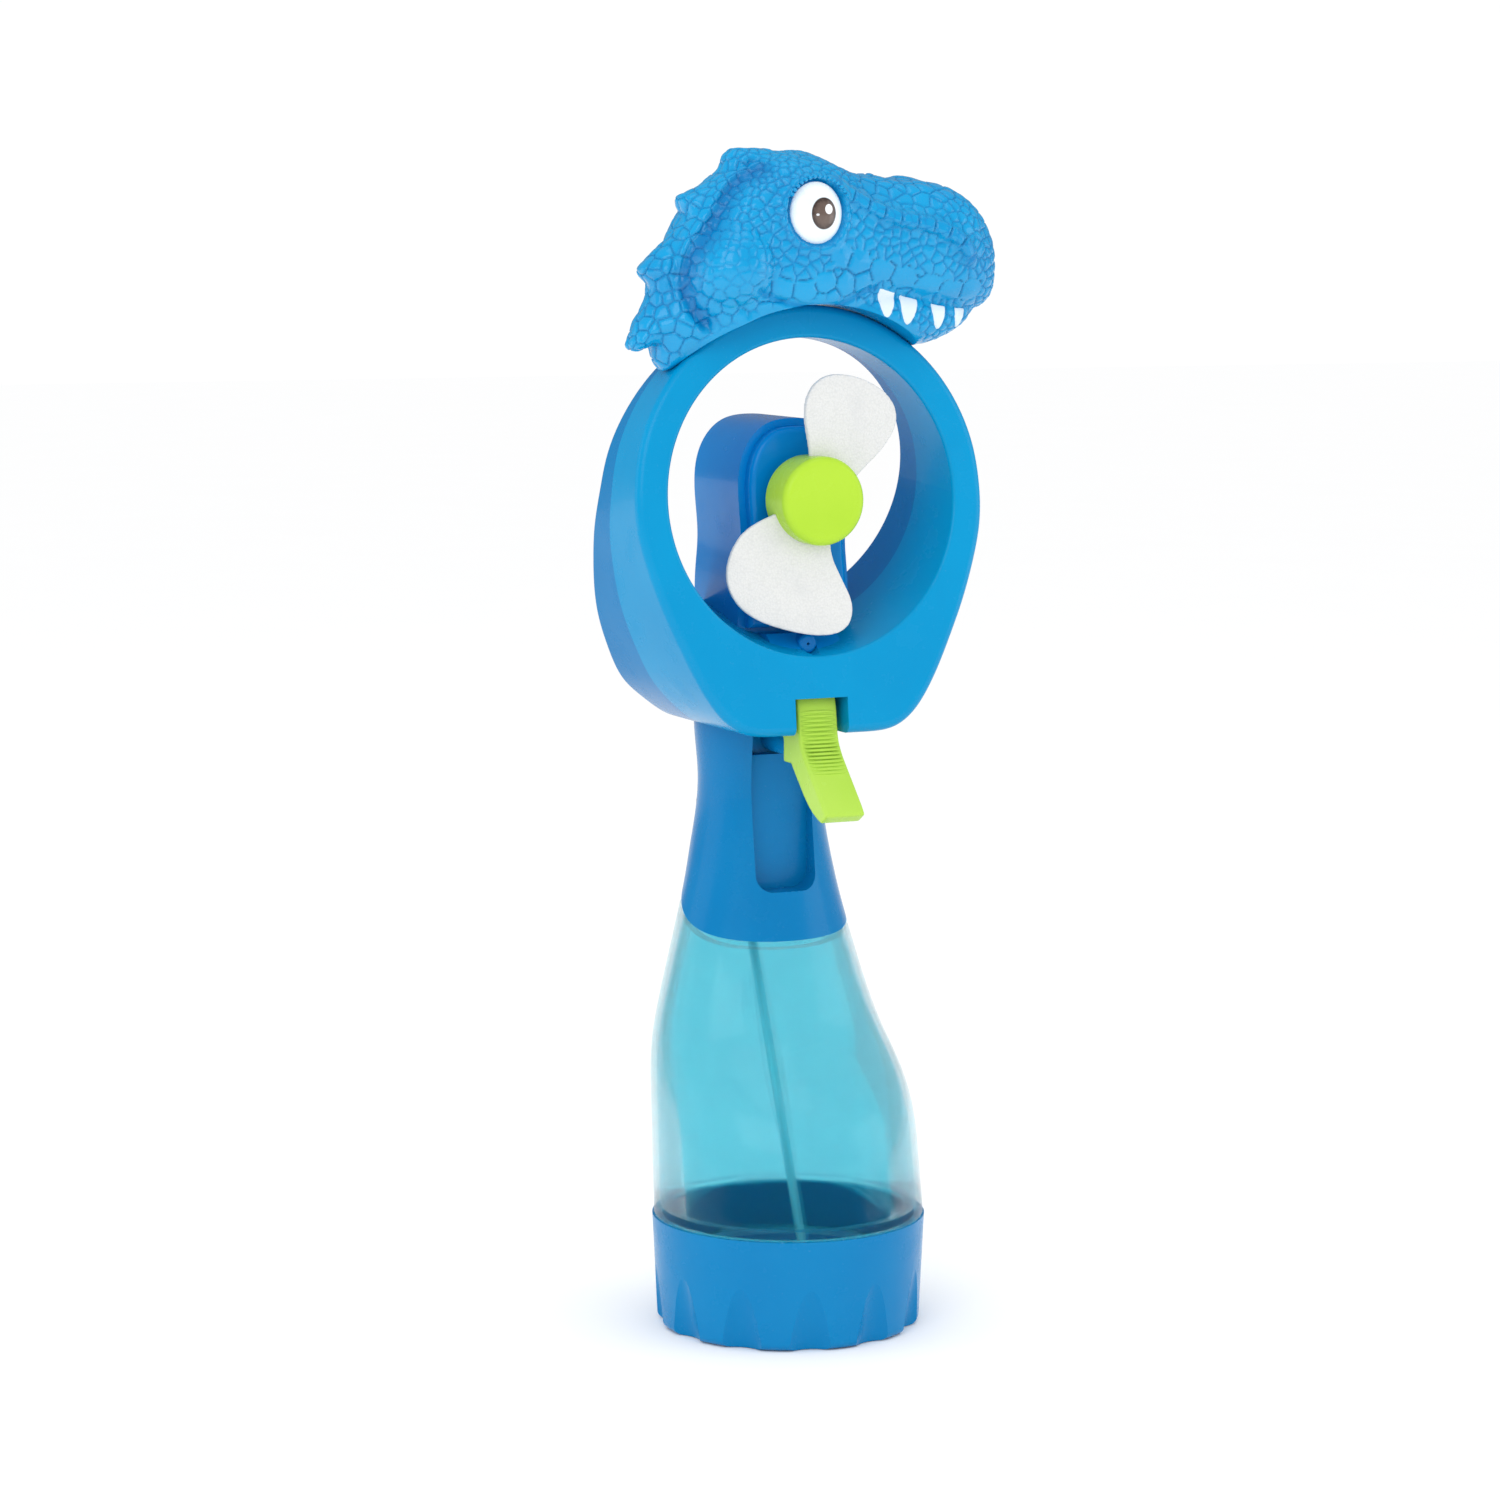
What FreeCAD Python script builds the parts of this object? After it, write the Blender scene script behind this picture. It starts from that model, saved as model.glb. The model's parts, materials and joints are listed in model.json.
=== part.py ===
import FreeCAD, Part
import math
import os

# Hand-held misting fan toy with a dinosaur head. Millimetres, +Z up, the fan blows towards -Y and
# the snout points to +X. The origin is the centre of the base cap's underside.

V = FreeCAD.Vector

# Base cap
cap_top_radius = 33.5
cap_foot_radius = 32.2
cap_height = 27.0
cap_floor = 2.2
cap_foot_fillet = 1.8
cap_flutes = 12
flute_radius = 7.5
flute_depth = 2.4
flute_height = 14.0
cap_ledge_z = 14.0
seal_thickness = 1.5
seal_width = 2.0
thread_clearance = 0.08
spigot_radius = 31.0
spigot_wall = 2.2
rim_gap = 0.2
bottle_floor = 2.0

# Bottle and handle: one flowing body, as (height, centre y, half width, half depth)
body_sections = [
    (26.0, 0.0, 33.1, 33.1),
    (38.0, 1.2, 33.0, 32.4),
    (51.0, 3.2, 32.7, 30.6),
    (59.4, 6.2, 32.1, 27.7),
    (67.0, 10.6, 30.6, 23.3),
    (75.0, 13.7, 28.4, 20.3),
    (83.0, 14.9, 26.0, 19.1),
    (94.0, 16.0, 22.8, 18.0),
    (105.0, 16.6, 19.7, 17.3),
    (112.5, 17.1, 18.1, 16.8),
    (120.0, 17.3, 16.5, 16.4),
    (131.0, 17.3, 15.2, 15.2),
    (142.0, 17.3, 15.9, 15.9),
    (170.0, 17.3, 17.0, 17.0),
]
oval_steps = 12
body_stations = 16
bottle_wall = 1.6
handle_wall = 2.0
grip_centre_y = 17.3
collar_y = -7.6
collar_z = 143.5
collar_radius = 49.2
collar_gap = 0.15
neck_clearance = 0.15
neck_root_z = 90.0
neck_top_z = 104.0
plug_thickness = 4.0
handle_split_y = 23.0

# Front recess of the handle, where the finger closes the trigger
recess_half_width = 8.0
recess_bottom_z = 106.5
recess_floor_y = 7.0
recess_wall = 1.8
recess_corner = 4.0
piston_window_half_width = 6.6
piston_window_z = 139.6

# Ring housing round the fan
ring_centre_z = 204.0
ring_outer_radius = 45.2
ring_wall = 2.0
chin_z = 147.2
arch_steps = 8
front_side = [(44.2, 194.6), (42.3, 187.5), (40.0, 180.3), (37.3, 173.1), (34.2, 166.0),
              (30.7, 159.0), (25.5, 151.8), (20.0, 148.2), (12.0, chin_z)]
rear_side = [(45.6, 195.6), (45.2, 188.3), (44.2, 180.8), (42.2, 173.3), (38.8, 165.7),
             (34.0, 158.0), (27.5, 152.3), (20.5, 148.3), (12.0, chin_z)]
front_station_y = -16.0
rear_station_y = 18.0
face_y = -13.9
face_lean = math.radians(5.8)
seam_y = 2.5
seam_lean = math.radians(4.6)
back_y = 10.9
back_lean = math.radians(14.5)
bore_radius = 37.4
bore_taper = 0.12
bore_rise = 0.105
face_edge_fillet = 2.0
bore_edge_fillet = 0.9
back_edge_fillet = 1.0

# Trigger and the slot it hangs from
slot_half_width = 6.9
slot_top_z = 156.0
slot_rear_y = 1.5
cheek_thickness = 1.4
pivot_y = -8.0
pivot_z = 158.0
pin_radius = 1.5
running_clearance = 0.05
trigger_half_width = 5.2
trigger_wall = 1.4
trigger_front = [(-12.2, 160.2), (-15.2, 156.5), (-16.6, 152.0), (-17.6, 146.0), (-22.2, 139.9),
                 (-27.4, 134.8), (-32.4, 129.4)]
trigger_back = [(-29.2, 127.4), (-21.4, 131.2), (-15.6, 136.4), (-11.5, 140.6), (-7.0, 146.6),
                (-4.3, 152.0), (-3.6, 157.0)]
trigger_eye_radius = 4.4
pusher_face_y = -8.0

# Pump
pump_z = 143.3
pump_bore_radius = 4.7
pump_outer_radius = 6.2
pump_front_y = 9.1
pump_rear_y = 25.4
pump_end_wall = 1.6
rod_radius = 3.2
rod_tip_y = -7.35
piston_front_y = 9.6
piston_length = 4.4
piston_clearance = 0.15
seal_groove_depth = 0.9
seal_clearance = 0.03
spring_wire = 0.35
spring_wire_sides = 8
spring_radius = 3.4
spring_pitch = 2.6
pump_port_y = 22.0
stem_radius = 3.0
stem_bore = 1.3
stem_bottom_z = 92.0
port_radius = 2.4
valve_ball_radius = 1.6
tube_radius = 1.15
tube_bore = 0.7
tube_foot = V(1.8, -10.0, 6.0)

# Mist outlet
hose_radius = 1.9
hose_bore = 1.0
hose_bend = 5.0
nozzle_radius = 2.4
nozzle_z = 168.3
nozzle_tip_y = -11.2
nozzle_rear_y = 1.0
nozzle_hole = 0.35
foot_block_half_width = 9.3
foot_block_top_z = 170.6
foot_block_front_y = -7.0
foot_block_toe_y = -12.0
hood_lift = 1.0
hood_slope = -1.438
hood_peak_z = 166.0
foot_block_rear_y = 1.5
sill_top_z = 176.5

# Motor pod behind the fan
pod_side = [(7.5, 220.6), (12.4, 215.6), (14.5, 208.0), (14.3, 200.5), (13.8, 192.5), (14.4, 184.0),
            (14.6, 175.0), (14.6, 164.5)]
pod_top_z = 222.0
pod_wall = 1.8
pod_cover_front_y = -6.0
pod_front_y = -2.5
pod_cover_inset = 1.8
pod_cover_fillet = 1.5
door_y = 18.7
pod_back_y = 25.0
pod_back_fillet = 1.6
pod_back_wall = 1.8
motor_radius = 7.75
motor_flat = 6.0
motor_length = 13.6
shaft_radius = 1.0
shaft_front_y = -13.5
fan_z = 203.0
boss_radius = 3.0
boss_front_y = -7.6
cell_radius = 5.2
cell_length = 44.0
cell_gap = 0.3
cell_y = 17.5
cell_bottom_z = 168.6
cell_nub_radius = 1.8
cell_nub_length = 1.0
contact_thickness = 0.4
pocket_half_width = 11.5
pocket_wall = 1.5
pocket_floor_z = 167.6
pocket_front_y = 12.0

# Fan
hub_radius = 10.6
hub_front_y = -20.7
hub_rear_y = -9.7
hub_fillet = 1.8
hub_wall = 1.6
hub_core_radius = 3.2
blade_thickness = 1.5
blade_y = -15.0
blade_pitch = 0.12
upper_blade = [(-2.0, 5.0), (-2.1, 14.0), (-2.2, 25.0), (1.0, 28.6), (7.1, 29.7), (14.2, 28.0), (20.6, 23.7),
               (22.4, 20.0), (20.6, 14.4), (12.6, 6.6), (6.0, 2.5)]
lower_blade = [(-6.0, -1.5), (-11.2, -3.6), (-17.8, -7.4), (-21.6, -14.2), (-21.6, -20.2), (-17.8, -26.0),
               (-10.4, -29.9), (-2.7, -31.9), (3.2, -32.3), (7.6, -30.6), (9.2, -26.8), (7.2, -20.2),
               (3.8, -12.0), (2.0, -4.0)]

# Power switch on the back of the handle
switch_z = 133.0
switch_travel = 4.0
switch_slot_half_width = 2.2
switch_slot_half_height = 5.2
knob_half_height = 3.0
knob_clearance = 0.15
knob_proud = 1.6
switch_box_depth = 4.0
switch_box_half_width = 4.5
switch_box_half_height = 8.0
switch_pocket_gap = 0.1
handle_back_y = 34.2

# Dinosaur head, hollow, in two halves that meet on its mid-plane and sit astride the ring
head_mid_y = -5.0
head_wall = 2.0
head_sections = [
    (-27.0, 258.0, 17.0, 8.0),
    (-20.0, 263.0, 20.0, 14.0),
    (-8.0, 266.0, 18.5, 17.5),
    (6.0, 265.5, 17.0, 18.0),
    (20.0, 261.5, 16.5, 16.5),
    (33.0, 260.5, 17.0, 14.0),
    (43.0, 259.5, 15.0, 12.0),
    (49.0, 259.0, 10.5, 8.0),
]
oval_power = 2.4
crest_half_thickness = 4.0
crest_outline = [(-6.0, 284.0), (-13.0, 286.6), (-18.6, 286.0), (-20.4, 281.0), (-33.6, 273.8),
                 (-31.0, 266.0), (-42.0, 258.4), (-38.8, 252.6), (-45.0, 242.0), (-38.6, 242.2),
                 (-35.6, 234.4), (-27.0, 238.0), (-10.0, 250.0)]
saddle_gap = 0.15
eye_x = -2.8
eye_z = 270.6
eye_half_width = 6.6
eye_half_height = 7.4
eye_proud = 1.2
eye_seat = 17.9

# Screws
screw_radius = 1.3
door_screw_z = 216.4
screw_seat_y = 29.0
screw_head_radius = 2.4
screw_head_height = 1.6


def closed_curve(points):
    curve = Part.BSplineCurve()
    curve.interpolate(Points=points, PeriodicFlag=True)
    return Part.Wire([curve.toShape()])


def section_wire(z, centre_y, half_width, half_depth):
    points = []
    for i in range(oval_steps):
        angle = 2 * math.pi * i / oval_steps
        points.append(V(half_width * math.sin(angle), centre_y + half_depth * math.cos(angle), z))
    return closed_curve(points)


def body_at(z):
    """Centre y, half width and half depth of the flowing body at height z, eased between its sections."""
    last = len(body_sections) - 1
    i = max(k for k in range(last) if body_sections[k][0] <= z or k == 0)
    low, high = body_sections[i], body_sections[i + 1]
    before, after = body_sections[max(i - 1, 0)], body_sections[min(i + 2, last)]
    span = high[0] - low[0]
    t = (z - low[0]) / span
    values = []
    for k in (1, 2, 3):
        slope_low = (high[k] - before[k]) / (high[0] - before[0])
        slope_high = (after[k] - low[k]) / (after[0] - low[0])
        value = (2 * t ** 3 - 3 * t ** 2 + 1) * low[k] + (3 * t ** 2 - 2 * t ** 3) * high[k]
        value += span * ((t ** 3 - 2 * t ** 2 + t) * slope_low + (t ** 3 - t ** 2) * slope_high)
        values.append(value)
    return values


def flowing_body(inset):
    low, high = body_sections[0][0], body_sections[-1][0]
    wires = []
    for i in range(body_stations + 1):
        z = low + (high - low) * i / body_stations
        centre_y, half_width, half_depth = body_at(z)
        wires.append(section_wire(z, centre_y, half_width - inset, half_depth - inset))
    return Part.makeLoft(wires, True, False)


def box(x0, x1, y0, y1, z0, z1):
    return Part.makeBox(x1 - x0, y1 - y0, z1 - z0, V(x0, y0, z0))


def cylinder_y(radius, y0, y1, x, z):
    return Part.makeCylinder(radius, y1 - y0, V(x, y0, z), V(0, 1, 0))


def prism_x(points, half_width):
    corners = [V(-half_width, y, z) for y, z in points]
    face = Part.Face(Part.makePolygon(corners + [corners[0]]))
    return face.extrude(V(2 * half_width, 0, 0))


def inset_points(points, inset, centre_x=0.0):
    """Moves each point of the right-hand side of an outline inwards, square to the outline."""
    moved = []
    for i, (x, z) in enumerate(points):
        before = points[max(i - 1, 0)]
        after = points[min(i + 1, len(points) - 1)]
        run = math.hypot(after[0] - before[0], after[1] - before[1])
        normal = ((after[1] - before[1]) / run, -(after[0] - before[0]) / run)
        moved.append((x + inset * normal[0], z + inset * normal[1]))
    return moved


def ring_outline(y, inset):
    """Outer outline of the ring housing at depth y: an arch over a tapering chin."""
    share = (y - front_station_y) / (rear_station_y - front_station_y)
    side = []
    for (front_x, front_z), (rear_x, rear_z) in zip(front_side, rear_side):
        side.append((front_x + share * (rear_x - front_x), front_z + share * (rear_z - front_z)))
    radius = ring_outer_radius - inset
    crown = []
    for i in range(arch_steps + 1):
        angle = math.radians(90 - 90 * i / arch_steps)
        crown.append((radius * math.cos(angle), ring_centre_z + radius * math.sin(angle)))
    side = inset_points([(ring_outer_radius, ring_centre_z)] + side, inset)[1:]
    side[-1] = (side[-1][0], chin_z + inset)
    half = crown + side
    points = [V(x, y, z) for x, z in half] + [V(0, y, chin_z + inset)]
    points += [V(-x, y, z) for x, z in reversed(half[1:])]
    return closed_curve(points)


def face_line(z, inset=0.0):
    return face_y + inset / math.cos(face_lean) + (z - ring_centre_z) * math.tan(face_lean)


def back_line(z, inset=0.0):
    return back_y - inset / math.cos(back_lean) - (z - ring_centre_z) * math.tan(back_lean)


def seam_line(z):
    return seam_y - (z - ring_centre_z) * math.tan(seam_lean)


def ring_bore(extra):
    wires = []
    for y in (-32.0, 42.0):
        depth = y - face_y
        centre = V(0, y, ring_centre_z + bore_rise * depth)
        wires.append(Part.Wire([Part.makeCircle(bore_radius - bore_taper * depth + extra, centre, V(0, 1, 0))]))
    return Part.makeLoft(wires, True, True)


def ring_body(inset):
    loft = Part.makeLoft([ring_outline(-30.0, inset), ring_outline(34.0, inset)], True, True)
    low, high = chin_z - 10, ring_centre_z + ring_outer_radius + 10
    wedge = prism_x([(face_line(low, inset), low), (back_line(low, inset), low),
                     (back_line(high, inset), high), (face_line(high, inset), high)], 60)
    return loft.common(wedge).cut(ring_bore(inset))


def edges_on(shape, line, near_bore):
    """Edges that lie in a leaning face of the ring, either round the bore or round the outside."""
    found = []
    for edge in shape.Edges:
        inside = True
        for t in (0.1, 0.5, 0.9):
            p = edge.valueAt(edge.FirstParameter + t * (edge.LastParameter - edge.FirstParameter))
            if abs(p.y - line(p.z)) > 0.01:
                inside = False
            reach = math.hypot(p.x, p.z - ring_centre_z)
            if (reach < bore_radius + 3) != near_bore:
                inside = False
        if inside:
            found.append(edge)
    return found


def rounded_ring():
    shape = ring_body(0)
    shape = shape.makeFillet(face_edge_fillet, edges_on(shape, face_line, False))
    shape = shape.makeFillet(bore_edge_fillet, edges_on(shape, face_line, True))
    shape = shape.makeFillet(back_edge_fillet, edges_on(shape, back_line, False))
    return shape


def front_of_seam(gap=0.0):
    low, high = chin_z - 10, ring_centre_z + ring_outer_radius + 10
    return prism_x([(-60, low), (seam_line(low) - gap, low), (seam_line(high) - gap, high), (-60, high)], 70)


def pump_bay():
    return box(-8.6, 8.6, pump_front_y, 25.5, 139.0, chin_z + ring_wall + 1.2)


def pod_wire(y, inset, bottom_z):
    half = inset_points([(0, pod_top_z)] + pod_side, inset)
    half[0] = (0, pod_top_z - inset)
    half[-1] = (half[-1][0], bottom_z)
    points = [V(-x, y, z) for x, z in reversed(half)] + [V(x, y, z) for x, z in half[1:]]
    curve = Part.BSplineCurve()
    curve.interpolate(Points=points)
    base = Part.LineSegment(points[-1], points[0])
    return Part.Wire([curve.toShape(), base.toShape()])


def pod_solid(y0, y1, inset, bottom_z):
    return Part.Face(pod_wire(y0, inset, bottom_z)).extrude(V(0, y1 - y0, 0))


def front_edges(shape, y):
    return [e for e in shape.Edges if abs(e.BoundBox.YMin - y) < 0.01 and abs(e.BoundBox.YMax - y) < 0.01]


def swept_tube(points, bend, radius, bore):
    """A tube along straight runs joined by tangent arcs."""
    edges = []
    start = points[0]
    for i in range(1, len(points) - 1):
        into = (points[i] - points[i - 1]).normalize()
        out = (points[i + 1] - points[i]).normalize()
        turn = into.getAngle(out)
        trim = bend * math.tan(turn / 2)
        a = points[i] - into * trim
        b = points[i] + out * trim
        towards = (out - into).normalize()
        middle = points[i] + towards * (bend / math.cos(turn / 2) - bend)
        edges.append(Part.LineSegment(start, a).toShape())
        edges.append(Part.Arc(a, middle, b).toShape())
        start = b
    edges.append(Part.LineSegment(start, points[-1]).toShape())
    path = Part.Wire(edges)
    direction = points[1] - points[0]
    solids = []
    for r in (radius, bore):
        profile = Part.Wire([Part.makeCircle(r, points[0], direction)])
        solids.append(path.makePipeShell([profile], True, True))
    return solids[0].cut(solids[1])


def base_cap():
    body = Part.makeCone(cap_foot_radius, cap_top_radius, cap_height)
    foot = [e for e in body.Edges if e.BoundBox.ZMax < 0.01]
    body = body.makeFillet(cap_foot_fillet, foot)
    inner_radius = spigot_radius + thread_clearance
    body = body.cut(Part.makeCylinder(inner_radius, cap_height, V(0, 0, cap_ledge_z)))
    cup_radius = inner_radius - seal_width - 0.4
    body = body.cut(Part.makeCylinder(cup_radius, cap_height, V(0, 0, cap_floor)))
    lean = (cap_top_radius - cap_foot_radius) / cap_height + flute_depth / flute_height
    for i in range(cap_flutes):
        angle = 2 * math.pi * (i + 0.5) / cap_flutes
        reach = cap_foot_radius + flute_radius - flute_depth
        start = V(reach * math.cos(angle), reach * math.sin(angle), 0)
        axis = V(lean * math.cos(angle), lean * math.sin(angle), 1)
        start = start - axis * 4
        body = body.cut(Part.makeCylinder(flute_radius, flute_height * 2, start, axis))
    return body


def base_cap_seal():
    outer = spigot_radius - 0.1
    ring = Part.makeCylinder(outer, seal_thickness, V(0, 0, cap_ledge_z))
    return ring.cut(Part.makeCylinder(outer - seal_width, seal_thickness, V(0, 0, cap_ledge_z)))


def collar_tool(radius):
    return Part.makeCylinder(radius, 160, V(-80, collar_y, collar_z), V(1, 0, 0))


def bottle():
    rim_z = cap_height + rim_gap
    collar = collar_radius + collar_gap
    neck_inset = handle_wall + neck_clearance
    spigot_bottom = cap_ledge_z + seal_thickness
    floor_z = rim_z + bottle_floor
    body = flowing_body(0).cut(collar_tool(collar)).cut(box(-50, 50, -50, 60, 0, rim_z))
    body = body.cut(box(-50, 50, -50, 60, neck_top_z - 2, 200))
    neck = flowing_body(neck_inset).common(box(-50, 50, -50, 60, neck_root_z, neck_top_z))
    spigot = Part.makeCylinder(spigot_radius, floor_z - 1 - spigot_bottom, V(0, 0, spigot_bottom))
    outer = body.fuse([neck, spigot])
    cavity = flowing_body(bottle_wall).cut(collar_tool(collar + bottle_wall + 0.6))
    cavity = cavity.cut(box(-50, 50, -50, 60, 0, floor_z)).cut(box(-50, 50, -50, 60, neck_top_z - 2, 200))
    throat = flowing_body(neck_inset + bottle_wall).common(box(-50, 50, -50, 60, neck_root_z, neck_top_z + 1))
    mouth = Part.makeCylinder(spigot_radius - spigot_wall, floor_z + 2 - spigot_bottom, V(0, 0, spigot_bottom - 1))
    inner = cavity.fuse([throat, mouth])
    return outer.cut(inner)


def bottle_plug():
    inset = handle_wall + neck_clearance + bottle_wall + 0.02
    slab = flowing_body(inset).common(box(-50, 50, -50, 60, neck_top_z - plug_thickness, neck_top_z))
    stem = Part.makeCylinder(stem_radius + 0.01, 20, V(0, pump_port_y, neck_top_z - 10))
    return slab.cut(stem)


def tube_top():
    return V(0, pump_port_y, stem_bottom_z)


def dip_tube():
    run = tube_foot - tube_top()
    outer = Part.makeCylinder(tube_radius, run.Length, tube_top(), run)
    return outer.cut(Part.makeCylinder(tube_bore, run.Length, tube_top(), run))


def handle_region(inset):
    """Side view of the handle: under the chin, with a shoulder behind the ring's back face."""
    top = chin_z - inset
    slope = hood_slope
    reach = 40.0
    shoulder_y = back_line(hood_peak_z) + 0.2
    low_z = hood_peak_z + slope * (reach - shoulder_y)
    behind = inset / math.cos(back_lean)
    lift = inset * math.hypot(1, slope)
    rear_y = back_line(top) + behind
    apex_z = hood_peak_z - lift
    return prism_x([(-60, 60), (reach, 60), (reach, low_z - lift), (back_line(apex_z) + behind + 0.2, apex_z),
                    (rear_y, top), (-60, top)], 60)


def handle_shell():
    outer = flowing_body(0).common(handle_region(0)).common(collar_tool(collar_radius))
    inner = flowing_body(handle_wall).common(handle_region(handle_wall))
    shell = outer.cut(inner)
    return outer, shell


def recess_prism(grow, floor_y):
    half = recess_half_width + grow
    bottom = recess_bottom_z - grow
    solid = box(-half, half, -30, floor_y, bottom, chin_z + 20)
    corners = [e for e in solid.Edges
               if abs(e.BoundBox.ZMin - bottom) < 0.01 and abs(e.BoundBox.ZMax - bottom) < 0.01
               and e.BoundBox.YLength > 1]
    return solid.makeFillet(recess_corner + grow, corners)


def handle_parts():
    outer, shell = handle_shell()
    liner = recess_prism(recess_wall, recess_floor_y + recess_wall).common(outer)
    shell = shell.fuse(liner).cut(recess_prism(0, recess_floor_y))
    window = box(-piston_window_half_width, piston_window_half_width, 0, 12, piston_window_z, chin_z + 1)
    shell = shell.cut(window).cut(pump_bay())
    slot = box(-switch_slot_half_width, switch_slot_half_width, 25, 60,
               switch_z - switch_slot_half_height, switch_z + switch_slot_half_height)
    shell = shell.cut(slot).cut(switch_block(switch_pocket_gap))
    for x, z in handle_screw_places():
        shell = shell.cut(cylinder_y(screw_head_radius, screw_seat_y, 60, x, z))
        post = cylinder_y(screw_head_radius + 1.2, handle_split_y - 9, 31.0, x, z).common(outer)
        shell = shell.fuse(post).cut(cylinder_y(screw_head_radius, screw_seat_y, 60, x, z))
        shell = shell.cut(cylinder_y(screw_radius, handle_split_y - 7, 60, x, z))
    rear_zone = box(-60, 60, handle_split_y, 90, 60, 200).fuse(box(-60, 60, 0, 90, chin_z + hood_lift, 200))
    front = shell.cut(rear_zone)
    rear = shell.common(rear_zone)
    return front, rear


def handle_screw_places():
    return [(-9.0, 125.5), (9.0, 125.5)]


def ring_parts():
    outer = rounded_ring()
    shell = outer.cut(ring_body(ring_wall))
    cheeks = []
    for side in (-1, 1):
        x0 = side * slot_half_width
        x1 = side * (slot_half_width + cheek_thickness)
        cheeks.append(box(min(x0, x1), max(x0, x1), -30, slot_rear_y + 1.5, chin_z, pivot_z + 5.5).common(outer))
    pocket = box(-pocket_half_width - pocket_wall, pocket_half_width + pocket_wall, pocket_front_y - pocket_wall,
                 40, pocket_floor_z - pocket_wall, 190).common(outer)
    shell = shell.fuse(cheeks + [pocket])
    shell = shell.cut(box(-pocket_half_width, pocket_half_width, pocket_front_y, 40, pocket_floor_z, 190))
    shell = shell.cut(box(-slot_half_width, slot_half_width, -40, slot_rear_y, 130, slot_top_z))
    shell = shell.cut(Part.makeCylinder(pin_radius, 40, V(-20, pivot_y, pivot_z), V(1, 0, 0)))
    shell = shell.cut(pump_bay())
    shell = shell.cut(cylinder_y(nozzle_radius, nozzle_tip_y - 5, nozzle_rear_y, 0, nozzle_z))
    shell = shell.cut(Part.makeCylinder(hose_radius + 0.1, 12, V(0, nozzle_rear_y - hose_radius - 1, 158)))
    shell = shell.cut(Part.makeCylinder(port_radius + 0.3, 12, V(0, pump_port_y, 147)))
    front = shell.common(front_of_seam())
    rear = shell.cut(front_of_seam())
    return front, rear, outer


def smooth_line(points):
    curve = Part.BSplineCurve()
    curve.interpolate(Points=points)
    return curve.toShape()


def trigger_face(inset):
    front = [V(0, y, z) for y, z in trigger_front]
    back = [V(0, y, z) for y, z in trigger_back]
    edges = [smooth_line(front), Part.LineSegment(front[-1], back[0]).toShape(), smooth_line(back),
             Part.LineSegment(back[-1], front[0]).toShape()]
    face = Part.Face(Part.Wire(edges))
    return face.makeOffset2D(-inset) if inset else face


def trigger_lever():
    face = trigger_face(0)
    face.translate(V(-trigger_half_width, 0, 0))
    body = face.extrude(V(2 * trigger_half_width, 0, 0))
    eye = Part.makeCylinder(trigger_eye_radius, 2 * trigger_half_width,
                            V(-trigger_half_width, pivot_y, pivot_z), V(1, 0, 0))
    pad = box(-trigger_half_width, trigger_half_width, -12.5, pusher_face_y, pump_z - 3.6, pump_z + 3.6)
    body = body.fuse([eye, pad])
    hollow = prism_x([(-13.9, 154.0), (-15.0, 146.0), (-20.6, 138.6), (-27.0, 131.8), (-17.0, 130.0),
                      (-10.0, 138.0), (-10.0, 154.0)], trigger_half_width - trigger_wall)
    body = body.cut(hollow)
    hole = Part.makeCylinder(pin_radius + running_clearance, 20, V(-10, pivot_y, pivot_z), V(1, 0, 0))
    return body.cut(hole)


def trigger_pivot_pin():
    length = 2 * (slot_half_width + cheek_thickness)
    return Part.makeCylinder(pin_radius, length, V(-length / 2, pivot_y, pivot_z), V(1, 0, 0))


def pump_cylinder():
    body = cylinder_y(pump_outer_radius, pump_front_y, pump_rear_y, 0, pump_z)
    stem = Part.makeCylinder(stem_radius, pump_z - stem_bottom_z, V(0, pump_port_y, stem_bottom_z))
    port = Part.makeCylinder(port_radius, 2.6, V(0, pump_port_y, pump_z + pump_outer_radius - 1.0))
    body = body.fuse([stem, port])
    body = body.cut(cylinder_y(pump_bore_radius, pump_front_y - 1, pump_rear_y - pump_end_wall, 0, pump_z))
    body = body.cut(Part.makeCylinder(stem_bore, 60, V(0, pump_port_y, stem_bottom_z)))
    chamber = Part.makeCylinder(valve_ball_radius + 0.3, 5.0, V(0, pump_port_y, neck_top_z + 6))
    run = tube_foot - tube_top()
    socket = Part.makeCylinder(tube_radius, 8.0, tube_top() - run.normalize() * 4.0, tube_foot - tube_top())
    return body.cut(chamber).cut(socket)


def pump_piston():
    rod = cylinder_y(rod_radius, rod_tip_y, piston_front_y, 0, pump_z)
    tip = [e for e in rod.Edges if abs(e.BoundBox.YMax - rod_tip_y) < 0.01]
    rod = rod.makeFillet(1.0, tip)
    head_radius = pump_bore_radius - piston_clearance
    head = cylinder_y(head_radius, piston_front_y, piston_front_y + piston_length, 0, pump_z)
    groove = cylinder_y(head_radius + 1, piston_front_y + 1.4, piston_front_y + 3.0, 0, pump_z)
    groove = groove.cut(cylinder_y(head_radius - seal_groove_depth, piston_front_y, piston_front_y + 4, 0, pump_z))
    return rod.fuse(head).cut(groove)


def piston_seal():
    inner = pump_bore_radius - piston_clearance - seal_groove_depth
    ring = cylinder_y(pump_bore_radius - seal_clearance, piston_front_y + 1.4, piston_front_y + 3.0, 0, pump_z)
    return ring.cut(cylinder_y(inner, piston_front_y, piston_front_y + 4, 0, pump_z))


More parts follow.
